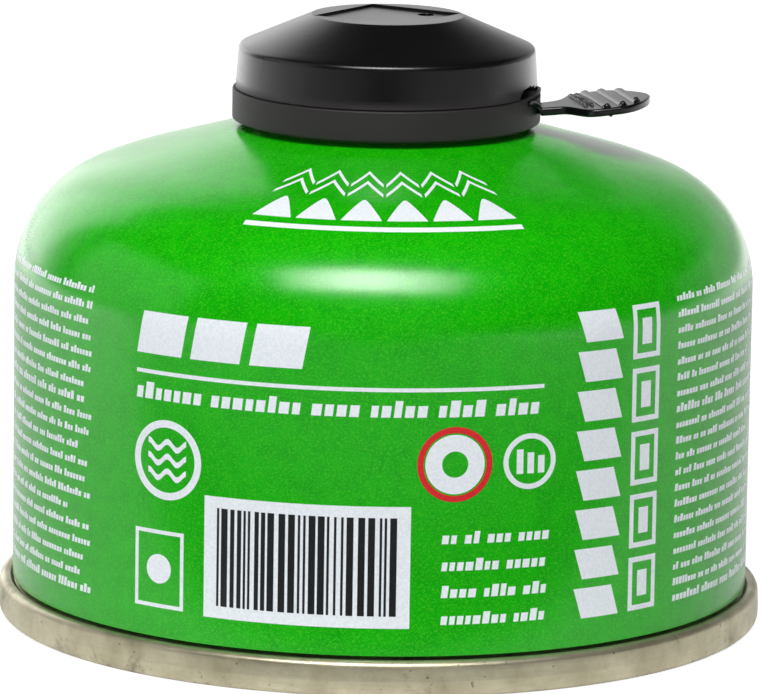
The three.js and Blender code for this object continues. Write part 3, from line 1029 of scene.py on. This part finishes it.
@dataclass
class ValveCap:
    """Push-on cap, one moulding: tear band, wall, cone, top disc with a square recess and a vent."""

    band_radius: float = 18.05
    bottom: float = field(default_factory=lambda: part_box("cap")[0].z / MM)
    top: float = field(default_factory=lambda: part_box("cap")[1].z / MM)
    band_height: float = 3.65
    band_hem: float = 0.14  # the band's outer edge ends this far above its inner skirt
    ledge: float = 0.35
    wall_height: float = 4.7
    wall_draft: float = 0.35
    shoulder_edge: float = 0.65
    disc_radius: float = 8.8
    cone_height: float = 3.1
    thickness: float = 1.05
    groove: float = 0.3
    groove_height: float = 0.13
    recess_side: float = 6.15  # from the centre to each side of the square
    recess_turn: float = 56.9  # direction of one side's normal, in degrees
    recess_depth: float = 0.3
    vent_radius: float = 1.0
    vent_x: float = 4.5
    vent_y: float = 2.2
    vent_undercut: float = 0.5
    window_start: float = -28.6
    window_end: float = 12.5
    window_rise: float = 1.0
    window_dip: float = 0.32  # how far the window cuts into the band below the tear line
    window_dip_from: float = 3.6  # degrees from the window's ends to where it does so
    window_climb: float = 0.028  # mm that its upper edge rises for each degree, up to window_climb_end
    window_climb_end: float = 12.0
    window_edge: float = 0.1  # mm over which the wall turns in
    tooth: float = 0.1  # height of the torn edge's saw teeth
    tooth_width: float = 1.7  # degrees from a tooth's tip to its foot
    window_floor: float = 15.95  # radius of the window's back
    pocket_wall: float = 15.7  # the inner wall steps in to this radius behind the window
    pocket_low: float = 0.55  # from the tear line down to the pocket's foot
    pocket_high: float = 2.3  # from the tear line up to its top
    tears: tuple[tuple[float, float], ...] = ((-17.3, 0.27), (-13.3, 0.33))  # degrees, and the step down
    points_round: int = 460

    @property
    def tear_line(self) -> float:
        """Height of the line where the band tears off."""
        return self.bottom + self.band_height

    @property
    def wall_radius(self) -> float:
        """Outer radius of the wall just above the tear line."""
        return self.band_radius - self.ledge

    def vent_loop(self, radius: float, height: float) -> np.ndarray:
        """A circle round the vent.

        Args:
            radius: its radius.
            height: its height.

        Returns:
            Array (points_round, 3).
        """
        t = circle_angles(self.points_round)
        loop = [self.vent_x + radius * np.cos(t), self.vent_y + radius * np.sin(t), np.full_like(t, height)]
        return np.stack(loop, -1)

    def square_loop(self, side: float, height: float) -> np.ndarray:
        """The recess's square, met by rays that leave the vent's centre at even angles.

        Args:
            side: from the cap's axis to each side.
            height: its height.

        Returns:
            Array (points_round, 3).
        """
        t = circle_angles(self.points_round)
        turn = math.radians(self.recess_turn)
        centre = np.array([self.vent_x, self.vent_y])
        reach = np.full_like(t, 1e9)
        for quarter in range(4):
            facing_turn = turn + quarter * math.pi / 2
            normal = np.array([math.cos(facing_turn), math.sin(facing_turn)])
            facing = np.cos(t) * normal[0] + np.sin(t) * normal[1]
            distance = (side - centre @ normal) / np.where(facing > 1e-6, facing, 1e-6)
            reach = np.where(facing > 1e-6, np.minimum(reach, distance), reach)
        loop = [centre[0] + reach * np.cos(t), centre[1] + reach * np.sin(t), np.full_like(t, height)]
        return np.stack(loop, -1)

    def circle_loop(self, radius: float, height: float, even: float) -> np.ndarray:
        """A circle round the axis.

        Its points lie in the directions of the square's points at even = 0, and at even angles at 1.

        Args:
            radius: its radius.
            height: its height.
            even: from 0 to 1.

        Returns:
            Array (points_round, 3).
        """
        square = self.square_loop(self.recess_side, height)
        own = np.unwrap(np.arctan2(square[:, 1], square[:, 0]))
        regular = circle_angles(self.points_round)
        t = own + (regular - own) * even
        return np.stack([radius * np.cos(t), radius * np.sin(t), np.full_like(t, height)], -1)

    def top_loops(self) -> list[np.ndarray]:
        """Loops from inside the vent out over the recess's floor and wall to the disc's edge.

        Returns:
            The loops, each an array (points_round, 3).
        """
        floor = self.top - self.recess_depth
        wide = self.vent_radius + self.vent_undercut
        inside = [self.vent_loop(wide, floor - self.thickness), self.vent_loop(wide, floor - 0.3)]
        lip = [
            self.vent_loop(self.vent_radius, floor - 0.04), self.vent_loop(self.vent_radius + 0.03, floor),
        ]
        start, stop = lip[-1], self.square_loop(self.recess_side - 0.06, floor)
        spread = [start + (stop - start) * s for s in np.linspace(0, 1, 12)[1:]]
        wall = [
            self.square_loop(self.recess_side, floor + 0.04),
            self.square_loop(self.recess_side, self.top - 0.05),
            self.square_loop(self.recess_side + 0.05, self.top),
        ]
        edge = [self.circle_loop(self.disc_radius - 0.02, self.top, 0.0)]
        return [*inside, *lip, *spread, *wall, *edge]

    def outer_section(self) -> np.ndarray:
        """Section from the disc's edge down the cone, the wall and the band, and back up the inside.

        Returns:
            Array (n, 2) of radius and height.
        """
        wall_top = self.tear_line + self.wall_height
        line = self.tear_line
        inside_top = self.wall_radius - self.wall_draft - self.thickness
        return rounded([
            (self.disc_radius, self.top, 0),
            (self.disc_radius + 0.12, self.top - 0.02, 0.1),
            (self.wall_radius - self.wall_draft - 0.05, wall_top + 0.4, self.shoulder_edge),
            (self.wall_radius - self.wall_draft * 0.9, wall_top - 0.1, 0.2),
            (self.wall_radius, line + self.groove_height, 0.03),
            (self.wall_radius - self.groove, line + self.groove_height - 0.01, 0.03),
            (self.wall_radius - self.groove, line + 0.01, 0.03),
            (self.band_radius, line, 0.17),
            (self.band_radius, self.bottom + self.band_hem, 0.14),
            (self.band_radius - 0.5, self.bottom + self.band_hem, 0.08),
            (self.band_radius - 0.75, self.bottom - 0.2, 0.1),
            (self.band_radius - self.thickness, self.bottom - 0.2, 0.1),
            (self.band_radius - self.thickness, line - 0.6, 0.2),
            (self.wall_radius - self.thickness, line + 0.3, 0.2),
            (inside_top, self.top - self.cone_height - self.thickness, 0.3),
            (self.disc_radius, self.top - self.recess_depth - self.thickness, 0.3),
            (self.disc_radius - 1.0, self.top - self.recess_depth - self.thickness, 0),
        ], 5)

    def window_inset(self, degrees: np.ndarray) -> np.ndarray:
        """Distance in degrees from the nearer end of the thumb window, negative outside it."""
        return np.minimum(degrees - self.window_start, self.window_end - degrees)

    def window_share(self, degrees: np.ndarray, height: np.ndarray) -> np.ndarray:
        """How deep the thumb window is at each point of the wall, from 0 to 1.

        It is the distance to the window's edge over a soft width. The upper edge leaves the ends as
        an exponential curve and climbs slowly. It is torn: two steps down and a short saw-tooth wave.

        Args:
            degrees: directions of the points.
            height: their heights.

        Returns:
            The share for each point.
        """
        past = np.clip(degrees - self.window_start, 0, self.window_climb_end)
        inset = np.clip(self.window_inset(degrees), 0, None)
        low = self.tear_line + 0.1 - (self.window_dip + 0.1) * (inset > self.window_dip_from)
        high = self.tear_line + 0.08 + self.window_rise * (1 - np.exp(-inset)) + self.window_climb * past
        torn = degrees > self.tears[0][0]
        high = high + self.tooth * np.abs((degrees / self.tooth_width) % 2 - 1) * torn
        for place, drop in self.tears:
            high = high - drop * (degrees > place)
        inside = np.minimum(height - low, high - height)
        return np.clip(inside / self.window_edge, 0, 1) * (inset > 0)

    def pocket_share(self, degrees: np.ndarray, height: np.ndarray) -> np.ndarray:
        """How far the inner wall steps in behind the window, from 0 to 1: a soft-edged rectangle.

        Args:
            degrees: directions of the points.
            height: their heights.

        Returns:
            The share for each point.
        """
        across = np.clip(self.window_inset(degrees) + 1.5, 0, 1)
        up = np.clip((height - self.tear_line + self.pocket_low) / 0.25, 0, 1)
        down = np.clip((self.tear_line + self.pocket_high - height) / 0.3, 0, 1)
        return across * up * down

    def rows(self) -> np.ndarray:
        """The section with more points where the window is cut, and some where its pocket is.

        Returns:
            Array (n, 2) of radius and height.
        """
        plain, close, fine = 0.9, 0.25, 0.08
        section = refined(self.outer_section(), plain)
        floor, window_roof = self.tear_line - 0.7, self.tear_line + 1.5
        pocket_roof = self.tear_line + self.pocket_high + 0.1
        parts = []
        for a, b in zip(section[:-1], section[1:]):
            low, high = min(a[1], b[1]), max(a[1], b[1])
            step = close if low < pocket_roof and high > floor else plain
            if step == close and low < window_roof and max(a[0], b[0]) > self.wall_radius - 0.4:
                step = fine
            parts.append(refined(np.stack([a, b]), step)[:-1])
        return np.concatenate([*parts, section[-1:]])

    def surface(self) -> Surface:
        """The cap's body. Angles even out on the way down the cone, so the wall's grid is regular.

        Returns:
            The surface.
        """
        section = self.rows()
        turn_over = int(np.argmin(section[:, 1]))
        fallen = np.clip((self.top - section[:, 1]) / (self.cone_height * 0.9), 0, 1)
        passed = np.maximum.accumulate(fallen)
        loops = [self.circle_loop(r, z, e) for (r, z), e in zip(section, passed)]
        top = self.top_loops()
        grid = np.stack([*top, *loops])
        angle = np.arctan2(grid[..., 1], grid[..., 0])
        radius = np.hypot(grid[..., 0], grid[..., 1])
        degrees, height = np.degrees(angle), grid[..., 2]
        inner = (np.arange(len(grid)) > len(top) + turn_over)[:, None] & (radius > self.window_floor)
        outer = (radius > self.wall_radius - 0.4) & ~inner
        cut = self.window_share(degrees, height) * outer
        pocket = self.pocket_share(degrees, height) * inner
        radius = radius + (np.minimum(radius, self.window_floor) - radius) * cut
        radius = radius + (np.minimum(radius, self.pocket_wall) - radius) * pocket
        grid = np.stack([radius * np.cos(angle), radius * np.sin(angle), height], -1)
        ceiling = grid[-1].copy()
        vent = self.vent_loop(self.vent_radius + self.vent_undercut, ceiling[0, 2])
        under = [ceiling + (vent - ceiling) * s for s in np.linspace(0, 1, 9)[1:-1]]
        return skin(np.concatenate([grid, np.stack(under)])[::-1], ring=True)

    def dress(self, plastic: bpy.types.Material) -> None:
        """Makes the cap's body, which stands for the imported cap."""
        make_piece("cap_moulding", self.surface(), plastic, ("cap",))


@dataclass
class TearLip:
    """Thin rim that stands in front of the thumb window, a hair above the band."""

    cap: ValveCap
    thickness: float = 0.42
    rise: float = 0.55
    overrun: float = 0.7  # degrees past the window on each side
    foot_drop: float = 0.1865  # of its lower edge's ends below the tear line
    foot_rise: float = 0.24

    def surface(self) -> Surface:
        """A rounded bar bent round the cap.

        Its upper edge climbs towards the middle as a power of the distance from the window's end,
        and its lower edge lifts off the band by a smooth step.

        Returns:
            The surface.
        """
        start, stop = self.cap.window_start - self.overrun, self.cap.window_end + self.overrun
        steps = 120
        degrees = np.linspace(start, stop, steps)[:, None]
        share = np.linspace(-1, 1, steps)[:, None]
        inset = 1 - (np.hypot(share, 0.08) - 0.003)
        top = self.cap.tear_line + 0.03 + self.rise * np.clip(inset, 0, 1) ** 1.1
        step = np.clip((inset - 0.24) / 0.3, 0, 1)
        low = self.cap.tear_line - self.foot_drop + self.foot_rise * step**2 * (3 - 2 * step)
        around = circle_angles(32)[None, :]
        wide = self.thickness / 2
        middle = self.cap.band_radius - wide + 0.03
        radius = middle + wide * np.sign(np.cos(around)) * np.abs(np.cos(around)) ** 0.5
        up = (low + top) / 2 + (top - low) / 2 * np.sign(np.sin(around)) * np.abs(np.sin(around)) ** 0.4
        turn = np.radians(degrees)
        loops = np.stack([radius * np.cos(turn), radius * np.sin(turn), up], -1)
        return skin(loops[::-1], start=True, end=True)

    def dress(self, plastic: bpy.types.Material) -> None:
        """Makes the lip piece."""
        make_piece("tear_lip", self.surface(), plastic)


@dataclass
class PullTab:
    """Pull tab: a strap that climbs to the tear band and a broad paddle with three grip ribs.

    It has its own frame: u runs outwards along the paddle's axis, v across it, away from the camera.
    """

    cap: ValveCap
    paddle_thickness: float = 0.92
    strap_thickness: float = 0.98
    edge_radius: float = 0.28
    root_taper: float = 0.12  # how fast the root thins towards the band
    turn: float = 12.2
    rise: float = 0.099
    centre_x: float = 25.85
    centre_y: float = -2.4
    top_drop: float = 0.4665  # of the top face, at the paddle's middle, below the tear line
    tip: float = 5.0
    paddle_front: float = 6.05
    paddle_back: float = 6.3
    strap_front: float = 1.35
    strap_back: float = 3.0
    flare: float = 0.74
    waist: float = -6.6  # where the strap starts to narrow towards the bend
    front_widens: float = -4.5
    back_widens: float = -4.1
    bend: float = -8.05
    root: float = -10.0
    root_depth: float = 0.75  # how far the root reaches into the band
    climb: float = 1.2
    climb_length: float = 0.6
    rib_first: float = -1.42
    rib_spacing: float = 1.96
    rib_height: float = 0.34
    rib_width: float = 1.1
    bead_radius: float = 0.38
    bead_lift: float = 0.12
    bead_places: tuple[float, ...] = (-5.31, -4.94, -3.42)  # v of the bead on each rib
    pip_radius: float = 0.28
    pip_place: tuple[float, float] = (-0.9, -5.1)
    knurl_centre: tuple[float, float] = (-3.02, 0.95)
    knurl_reach: tuple[float, float] = (0.7, 4.2)  # from its centre to its sides
    knurl_rate: float = 4.5  # radians to a millimetre, so that the pips are 0.7 mm apart
    knurl_height: float = 0.3

    def edges(self, u: np.ndarray) -> tuple[np.ndarray, np.ndarray]:
        """The tab's two edges.

        Each widens from the strap to the paddle as a logistic curve, and closes towards the tip as
        (1 - (u / tip)^1.9)^0.7. Behind the bend the strap flares as a power of the distance.

        Args:
            u: distances along the tab.

        Returns:
            The front edge and the back edge, as distances across.
        """
        flare = self.flare * np.clip(self.bend - u, 0, None) ** 1.65
        waist = 0.3 * np.clip(self.waist - u, 0, 1.6)
        front_share = 1 / (1 + np.exp(-(u - self.front_widens) / 0.45))
        back_share = 1 / (1 + np.exp(-(u - self.back_widens) / 0.5))
        front = self.strap_front - waist + (self.paddle_front - self.strap_front) * front_share
        back = self.strap_back + (self.paddle_back - self.strap_back) * back_share
        closing = (1 - np.clip(u / self.tip, 0, 0.9999) ** 1.9) ** 0.7
        return -(front + flare) * closing, (back + 0.5 * flare) * closing

    def lift(self, u: np.ndarray) -> np.ndarray:
        """Height of the top face: a gentle rise, and behind the bend an exponential climb.

        Args:
            u: distances along the tab.

        Returns:
            The heights.
        """
        behind = np.clip(self.bend - u, 0, None)
        top = self.cap.tear_line - self.top_drop
        return top + self.rise * u + self.climb * (1 - np.exp(-behind / self.climb_length))

    def ribs(self, u: np.ndarray, v: np.ndarray) -> np.ndarray:
        """Height of the grip ribs: ridges with a steep inner side, which stop short of the edges.

        Args:
            u: distances along the tab.
            v: distances across it.

        Returns:
            The height over the top face.
        """
        bump = np.zeros(v.shape)
        for n in range(3):
            away = (u - self.rib_first - n * self.rib_spacing) / (self.rib_width / 2)
            bump = bump + np.clip(1 - away**2, 0, 1) ** np.where(away < 0, 0.45, 0.9)
        low, high = self.edges(u)
        room = np.minimum(v - low - 0.75, high - v - 0.55)
        return self.rib_height * bump * np.clip(room / 0.1, 0, 1)

    def knurl(self, u: np.ndarray, v: np.ndarray) -> np.ndarray:
        """Height of the raised pips on the inner part of the paddle: the smaller of two sine waves.

        Args:
            u: distances along the tab.
            v: distances across it.

        Returns:
            The height over the top face.
        """
        across, along = np.abs(u - self.knurl_centre[0]), np.abs(v - self.knurl_centre[1])
        inside = np.minimum(self.knurl_reach[0] - across, self.knurl_reach[1] - along)
        wave = np.minimum(np.abs(np.sin(across * self.knurl_rate)), np.abs(np.sin(v * self.knurl_rate)))
        return self.knurl_height * np.clip((wave - 0.58) * 4, 0, 1) * np.clip(inside / 0.08, 0, 1)

    def placed(self, u: np.ndarray, v: np.ndarray, z: np.ndarray) -> np.ndarray:
        """Turns the tab's own (u, v) into the object's x and y, and stops the root in the band.

        Args:
            u: distances along the tab.
            v: distances across it.
            z: heights.

        Returns:
            Array with a last axis of x, y and z.
        """
        t = math.radians(self.turn)
        x = self.centre_x + u * math.cos(t) - v * math.sin(t)
        y = self.centre_y + u * math.sin(t) + v * math.cos(t)
        push = np.maximum(np.hypot(x, y), self.cap.band_radius - self.root_depth) / np.hypot(x, y)
        return np.stack([x * push, y * push, z], -1)

    @staticmethod
    def section() -> tuple[np.ndarray, np.ndarray, np.ndarray, np.ndarray]:
        """A rounded rectangle, counter-clockwise from the end of its top right corner.

        Returns:
            For each point, which side it belongs to across and up, from -1 to 1, and its share of the
            corner's radius across and up.
        """
        top, bottom = np.linspace(1, -1, 130)[1:-1], np.linspace(-1, 1, 26)[1:-1]
        bend = np.linspace(0, 90, 6)
        left, right = np.full(12, -1.0), np.full(12, 1.0)
        rise = np.repeat([1.0, -1.0], 6)
        left_turn = np.radians(np.concatenate([bend + 90, bend + 180]))
        right_turn = np.radians(np.concatenate([bend + 270, bend]))
        across = np.concatenate([top, left, bottom, right])
        up = np.concatenate([np.ones(len(top)), rise, -np.ones(len(bottom)), -rise])
        out = np.concatenate([0 * top, np.cos(left_turn), 0 * bottom, np.cos(right_turn)])
        high = np.concatenate([0 * top + 1, np.sin(left_turn), 0 * bottom - 1, np.sin(right_turn)])
        return across, up, out, high

    def surface(self) -> Surface:
        """The tab: a rounded rectangle carried outwards from the root between the two edges.

        Near the tip the thickness falls off as a quarter circle.

        Returns:
            The surface.
        """
        nose, shoulder = 0.5, -5.0  # length of the thinning tip, and where the paddle's finer steps start
        near_tip = self.tip - nose * (1 - np.sin(np.linspace(0, math.pi / 2, 26)[1:-1]))
        paddle = np.linspace(shoulder, self.tip - nose, 230)[1:]
        u = np.concatenate([np.linspace(self.root, shoulder, 70), paddle, near_tip])[:, None]
        low, high = self.edges(u)
        width, middle = (high - low) / 2, (high + low) / 2
        slim = np.clip((u + 6.5) / 2.5, 0, 1)
        full = (self.strap_thickness + (self.paddle_thickness - self.strap_thickness) * slim) / 2
        full = full - self.root_taper * np.clip(self.bend - u, 0, None)
        past = np.clip((u - self.tip + self.edge_radius) / self.edge_radius, 0, 1)
        half = full - self.edge_radius * (1 - np.sqrt(1 - past**2 * 0.98))
        radius = np.minimum(self.edge_radius, np.minimum(width, half) * 0.98)
        across, up, out, top = (part[None, :] for part in self.section())
        v = middle + across * (width - radius) + out * radius
        z = self.lift(u) - full + up * (half - radius) + top * radius
        face = (out == 0) & (up > 0)
        z = z + face * (self.ribs(u, v) + self.knurl(u, v))
        return skin(self.placed(np.broadcast_to(u, v.shape), v, z), start=True, end=True)

    def ball(self, u: float, v: float, z: float, radius: float) -> Surface:
        """A ball: rings of radius r cos a at height r sin a, a from one pole to the other.

        Args:
            u, v, z: its centre.
            radius: its radius.

        Returns:
            The surface.
        """
        rings, points = 16, 28
        rise = np.radians(np.linspace(-86, 86, rings))[:, None]
        t = circle_angles(points)[None, :]
        ring = radius * np.cos(rise)
        height = np.broadcast_to(z + radius * np.sin(rise), (rings, points))
        return skin(self.placed(u + ring * np.cos(t), v + ring * np.sin(t), height), start=True, end=True)

    def beads(self) -> Surface:
        """Round beads at the front end of each rib, and a pip under the paddle.

        Returns:
            The surface.
        """
        balls = []
        for n, v in enumerate(self.bead_places):
            u = self.rib_first + n * self.rib_spacing
            balls.append(self.ball(u, v, float(self.lift(np.array(u))) + self.bead_lift, self.bead_radius))
        u, v = self.pip_place
        under = float(self.lift(np.array(u))) - self.paddle_thickness
        balls.append(self.ball(u, v, under, self.pip_radius))
        return Surface.joined(balls)

    def dress(self, plastic: bpy.types.Material) -> None:
        """Makes the tab piece."""
        make_piece("pull_tab", Surface.joined([self.surface(), self.beads()]), plastic)


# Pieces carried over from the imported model


def dress_valve(cup: bpy.types.Material, rubber: bpy.types.Material) -> None:
    """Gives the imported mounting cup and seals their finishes.

    Args:
        cup: bright tinplate.
        rubber: the seals' rubber.
    """
    for node, material in (("valve_cup", cup), ("cup_gasket", rubber), ("neck_seal", rubber)):
        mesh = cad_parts[node].data
        mesh.materials.clear()
        mesh.materials.append(material)
        LOG.info("%s: dressed", node)


# Stage


@dataclass(frozen=True)
class SoftBox:
    """A soft box that faces the can.

    Azimuth 0 is the camera's side and 90 the tab's side. Radiance 1 looks white in a mirror.
    """

    name: str
    azimuth: float
    elevation: float
    width: float
    height: float
    radiance: float
    distance: float = 1.0
    mirrored: bool = True

    def build(self) -> None:
        """Adds the lamp. An area lamp's face shines with watts / (4 area)."""
        turn, rise = math.radians(self.azimuth), math.radians(self.elevation)
        level = math.cos(rise)
        towards = Vector((math.sin(turn) * level, -math.cos(turn) * level, math.sin(rise)))
        data = bpy.data.lights.new(self.name, "AREA")
        data.shape, data.size, data.size_y = "RECTANGLE", self.width, self.height
        data.energy = 4 * self.width * self.height * self.radiance
        light = bpy.data.objects.new(self.name, data)
        light.location = Vector((0, 0, 0.03)) + towards * self.distance
        light.visible_glossy = self.mirrored
        light.rotation_mode = "QUATERNION"
        light.rotation_quaternion = (-towards).to_track_quat("-Z", "Y")
        bpy.context.scene.collection.objects.link(light)


@dataclass
class Studio:
    """White sweep, soft boxes and the camera, matched to the photograph."""

    elevation: float = 10.925
    distance: float = 0.799
    aim_height: float = 0.03155
    roll: float = 0.906
    focal: float = 318.8
    sensor: float = 36.0
    floor_size: float = 3.0  # metres from its middle to each side
    floor_painted_level: float = 0.07
    boxes: tuple[SoftBox, ...] = (
        SoftBox("key_box", -5, 50.5, 0.86, 0.34, 4.6),
        SoftBox("key_box_middle", -6, 50.5, 0.58, 0.34, 5.0, 0.99),
        SoftBox("key_box_core", -7, 50.5, 0.28, 0.34, 5.4, 0.98),
        SoftBox("front_fill", 0, 10, 0.8, 0.4, 1.25, mirrored=False),
        SoftBox("left_back_box", -152, 21, 0.66, 0.74, 0.5),
        SoftBox("left_back_box_edge", -144, 20, 0.4, 0.7, 0.5, 0.99),
        SoftBox("left_side_box", -88, 19, 0.85, 0.62, 0.55),
        SoftBox("right_side_box", 118, 8, 0.5, 0.3, 0.28),
    )

    def camera(self) -> None:
        """Camera low in front, looking along +Y and a little down, rolled by the photograph's tilt."""
        data = bpy.data.cameras.new("camera")
        data.lens, data.sensor_width = self.focal, self.sensor
        data.clip_start, data.clip_end = 0.05, 20
        camera = bpy.data.objects.new("camera", data)
        bpy.context.scene.collection.objects.link(camera)
        slope = math.radians(self.elevation)
        back = Vector((0, -math.cos(slope), math.sin(slope)))
        camera.location = Vector((0, 0, self.aim_height)) + back * self.distance
        camera.rotation_mode = "QUATERNION"
        turn = Quaternion((0, 0, 1), math.radians(self.roll))
        camera.rotation_quaternion = (-back).to_track_quat("-Z", "Y") @ turn
        bpy.context.scene.camera = camera

    def floor(self) -> None:
        """The sweep that the can stands on.

        The camera sees it as white with a pale shadow. Light and reflections meet a table whose painted
        level rises or falls by a ramp at each of the distances below, in metres: painted light makes it
        bright under the can, far behind it and beside it, and painted shade makes a darker stretch in
        front.
        In reflections the table also glows with half its painted level.
        """
        material = bpy.data.materials.new("white sweep")
        tree = empty_tree(material)
        at = add_node(tree, "ShaderNodeTexCoord").outputs["Object"]
        axes = add_node(tree, "ShaderNodeSeparateXYZ", {"Vector": at})
        beside = add_node(tree, "ShaderNodeMath", {0: axes.outputs["X"]}, operation="ABSOLUTE")
        depth = axes.outputs["Y"]
        level: Any = self.floor_painted_level
        # Painted light and shade: each ramp paints the table brighter or darker by place, for the studio's
        # light.
        for along, near, far, change in (
            (depth, -0.36, -0.24, 0.24), (depth, -0.17, -0.11, -0.24), (depth, -0.067, -0.053, 0.58),
            (depth, 0.2, 0.4, 0.9), (beside, 0.15, 0.3, 0.65),
        ):
            ramp = add_node(
                tree, "ShaderNodeMapRange",
                {Range.VALUE: along, Range.LOW: near, Range.HIGH: far, Range.TO_HIGH: change},
            )
            level = add_node(tree, "ShaderNodeMath", {0: level, 1: ramp}, operation="ADD")
        plain = add_node(tree, "ShaderNodeBsdfDiffuse", {"Color": level})
        ray = add_node(tree, "ShaderNodeLightPath")
        # Painted reflection: in mirrors the table glows with half its painted level.
        mirrored = add_node(
            tree, "ShaderNodeMath", {0: level, 1: ray.outputs["Is Glossy Ray"]}, operation="MULTIPLY"
        )
        halved = add_node(tree, "ShaderNodeMath", {0: mirrored, 1: 0.5}, operation="MULTIPLY")
        sheen = add_node(tree, "ShaderNodeEmission", {"Color": (1, 1, 1, 1), "Strength": halved})
        table = add_node(tree, "ShaderNodeAddShader", {0: plain, 1: sheen})
        shade = add_node(tree, "ShaderNodeBsdfDiffuse", {"Color": (0.35, 0.35, 0.35, 1)})
        glow = add_node(tree, "ShaderNodeEmission", {"Color": (1, 1, 1, 1), "Strength": 0.86})
        seen = add_node(tree, "ShaderNodeAddShader", {0: shade, 1: glow})
        both = add_node(
            tree, "ShaderNodeMixShader", {0: ray.outputs["Is Camera Ray"], 1: table, 2: seen}
        )
        add_node(tree, "ShaderNodeOutputMaterial", {"Surface": both})
        size = self.floor_size
        corners = [(-size, -size, 0), (size, -size, 0), (size, size, 0), (-size, size, 0)]
        mesh = bpy.data.meshes.new("floor")
        mesh.from_pydata(corners, [], [(0, 1, 2, 3)])
        mesh.materials.append(material)
        floor = bpy.data.objects.new("floor", mesh)
        bpy.context.scene.collection.objects.link(floor)

    @staticmethod
    def world() -> None:
        """Surroundings: a lit backdrop low behind the can, brighter on the left, and a dark room."""
        world = bpy.data.worlds.new("studio")
        bpy.context.scene.world = world
        tree = empty_tree(world)
        ray = add_node(tree, "ShaderNodeLightPath").outputs["Is Camera Ray"]
        direction = add_node(tree, "ShaderNodeTexCoord").outputs["Generated"]
        axes = add_node(tree, "ShaderNodeSeparateXYZ", {"Vector": direction})
        behind, side, tall, low = [
            add_node(tree, "ShaderNodeMapRange", {
                Range.VALUE: axes.outputs[axis], Range.LOW: near, Range.HIGH: far,
                Range.TO_LOW: first, Range.TO_HIGH: last,
            })
            for axis, near, far, first, last in (
                ("Y", 0.5, 0.72, 0.0, 1.0), ("X", -0.15, 0.2, 1.05, 0.36), ("Z", 0.36, 0.62, 1.0, 0.0),
                ("Z", 0.2, 0.3, 0.3, 0.0),
            )
        ]
        lit = add_node(tree, "ShaderNodeMath", {0: side, 1: tall, 2: low}, operation="MULTIPLY_ADD")
        lit = add_node(tree, "ShaderNodeMath", {0: lit, 1: behind}, operation="MULTIPLY")
        room = add_node(tree, "ShaderNodeMath", {0: lit, 1: 0.02}, operation="MAXIMUM")
        level = add_node(
            tree, "ShaderNodeMix", {Blend.SHARE: ray, Blend.NUMBER_A: room, Blend.NUMBER_B: 1.0},
            data_type="FLOAT",
        )
        background = add_node(tree, "ShaderNodeBackground", {"Color": (1, 1, 1, 1), "Strength": level})
        add_node(tree, "ShaderNodeOutputWorld", {"Surface": background})

    def build(self) -> None:
        """Sets up the camera, the floor, the surroundings and the lamps."""
        bpy.context.scene.view_settings.view_transform = "Standard"
        self.camera()
        self.floor()
        self.world()
        for box in self.boxes:
            box.build()


def main() -> None:
    """Builds the canister, its finishes and the studio."""
    logging.basicConfig(level=logging.INFO, format="%(name)s %(message)s")
    Studio().build()
    shell, cap = SteelShell(), ValveCap()
    banded = MouldedPolypropylene(
        "black polypropylene, matt below the tear line", matt_below=cap.tear_line + 0.2
    ).material()
    polished = MouldedPolypropylene("black polypropylene, moulded glossy", roughness=0.27).material()
    shell.dress(StovedLacquer().material())
    Print(SurfaceMap(shell)).dress()
    BaseEnd().dress(DrawnTinplate().material())
    cap.dress(banded)
    TearLip(cap).dress(banded)
    PullTab(cap).dress(polished)
    bright = DrawnTinplate(
        "bright tinplate, drawn cup", colour="#D6D4CC", shade="#BDBAB0", smudge="#8E8A80", roughness=0.26,
        marks=0.2,
    )
    dress_valve(bright.material(), SealRubber().material())


if __name__ == "__main__":
    main()
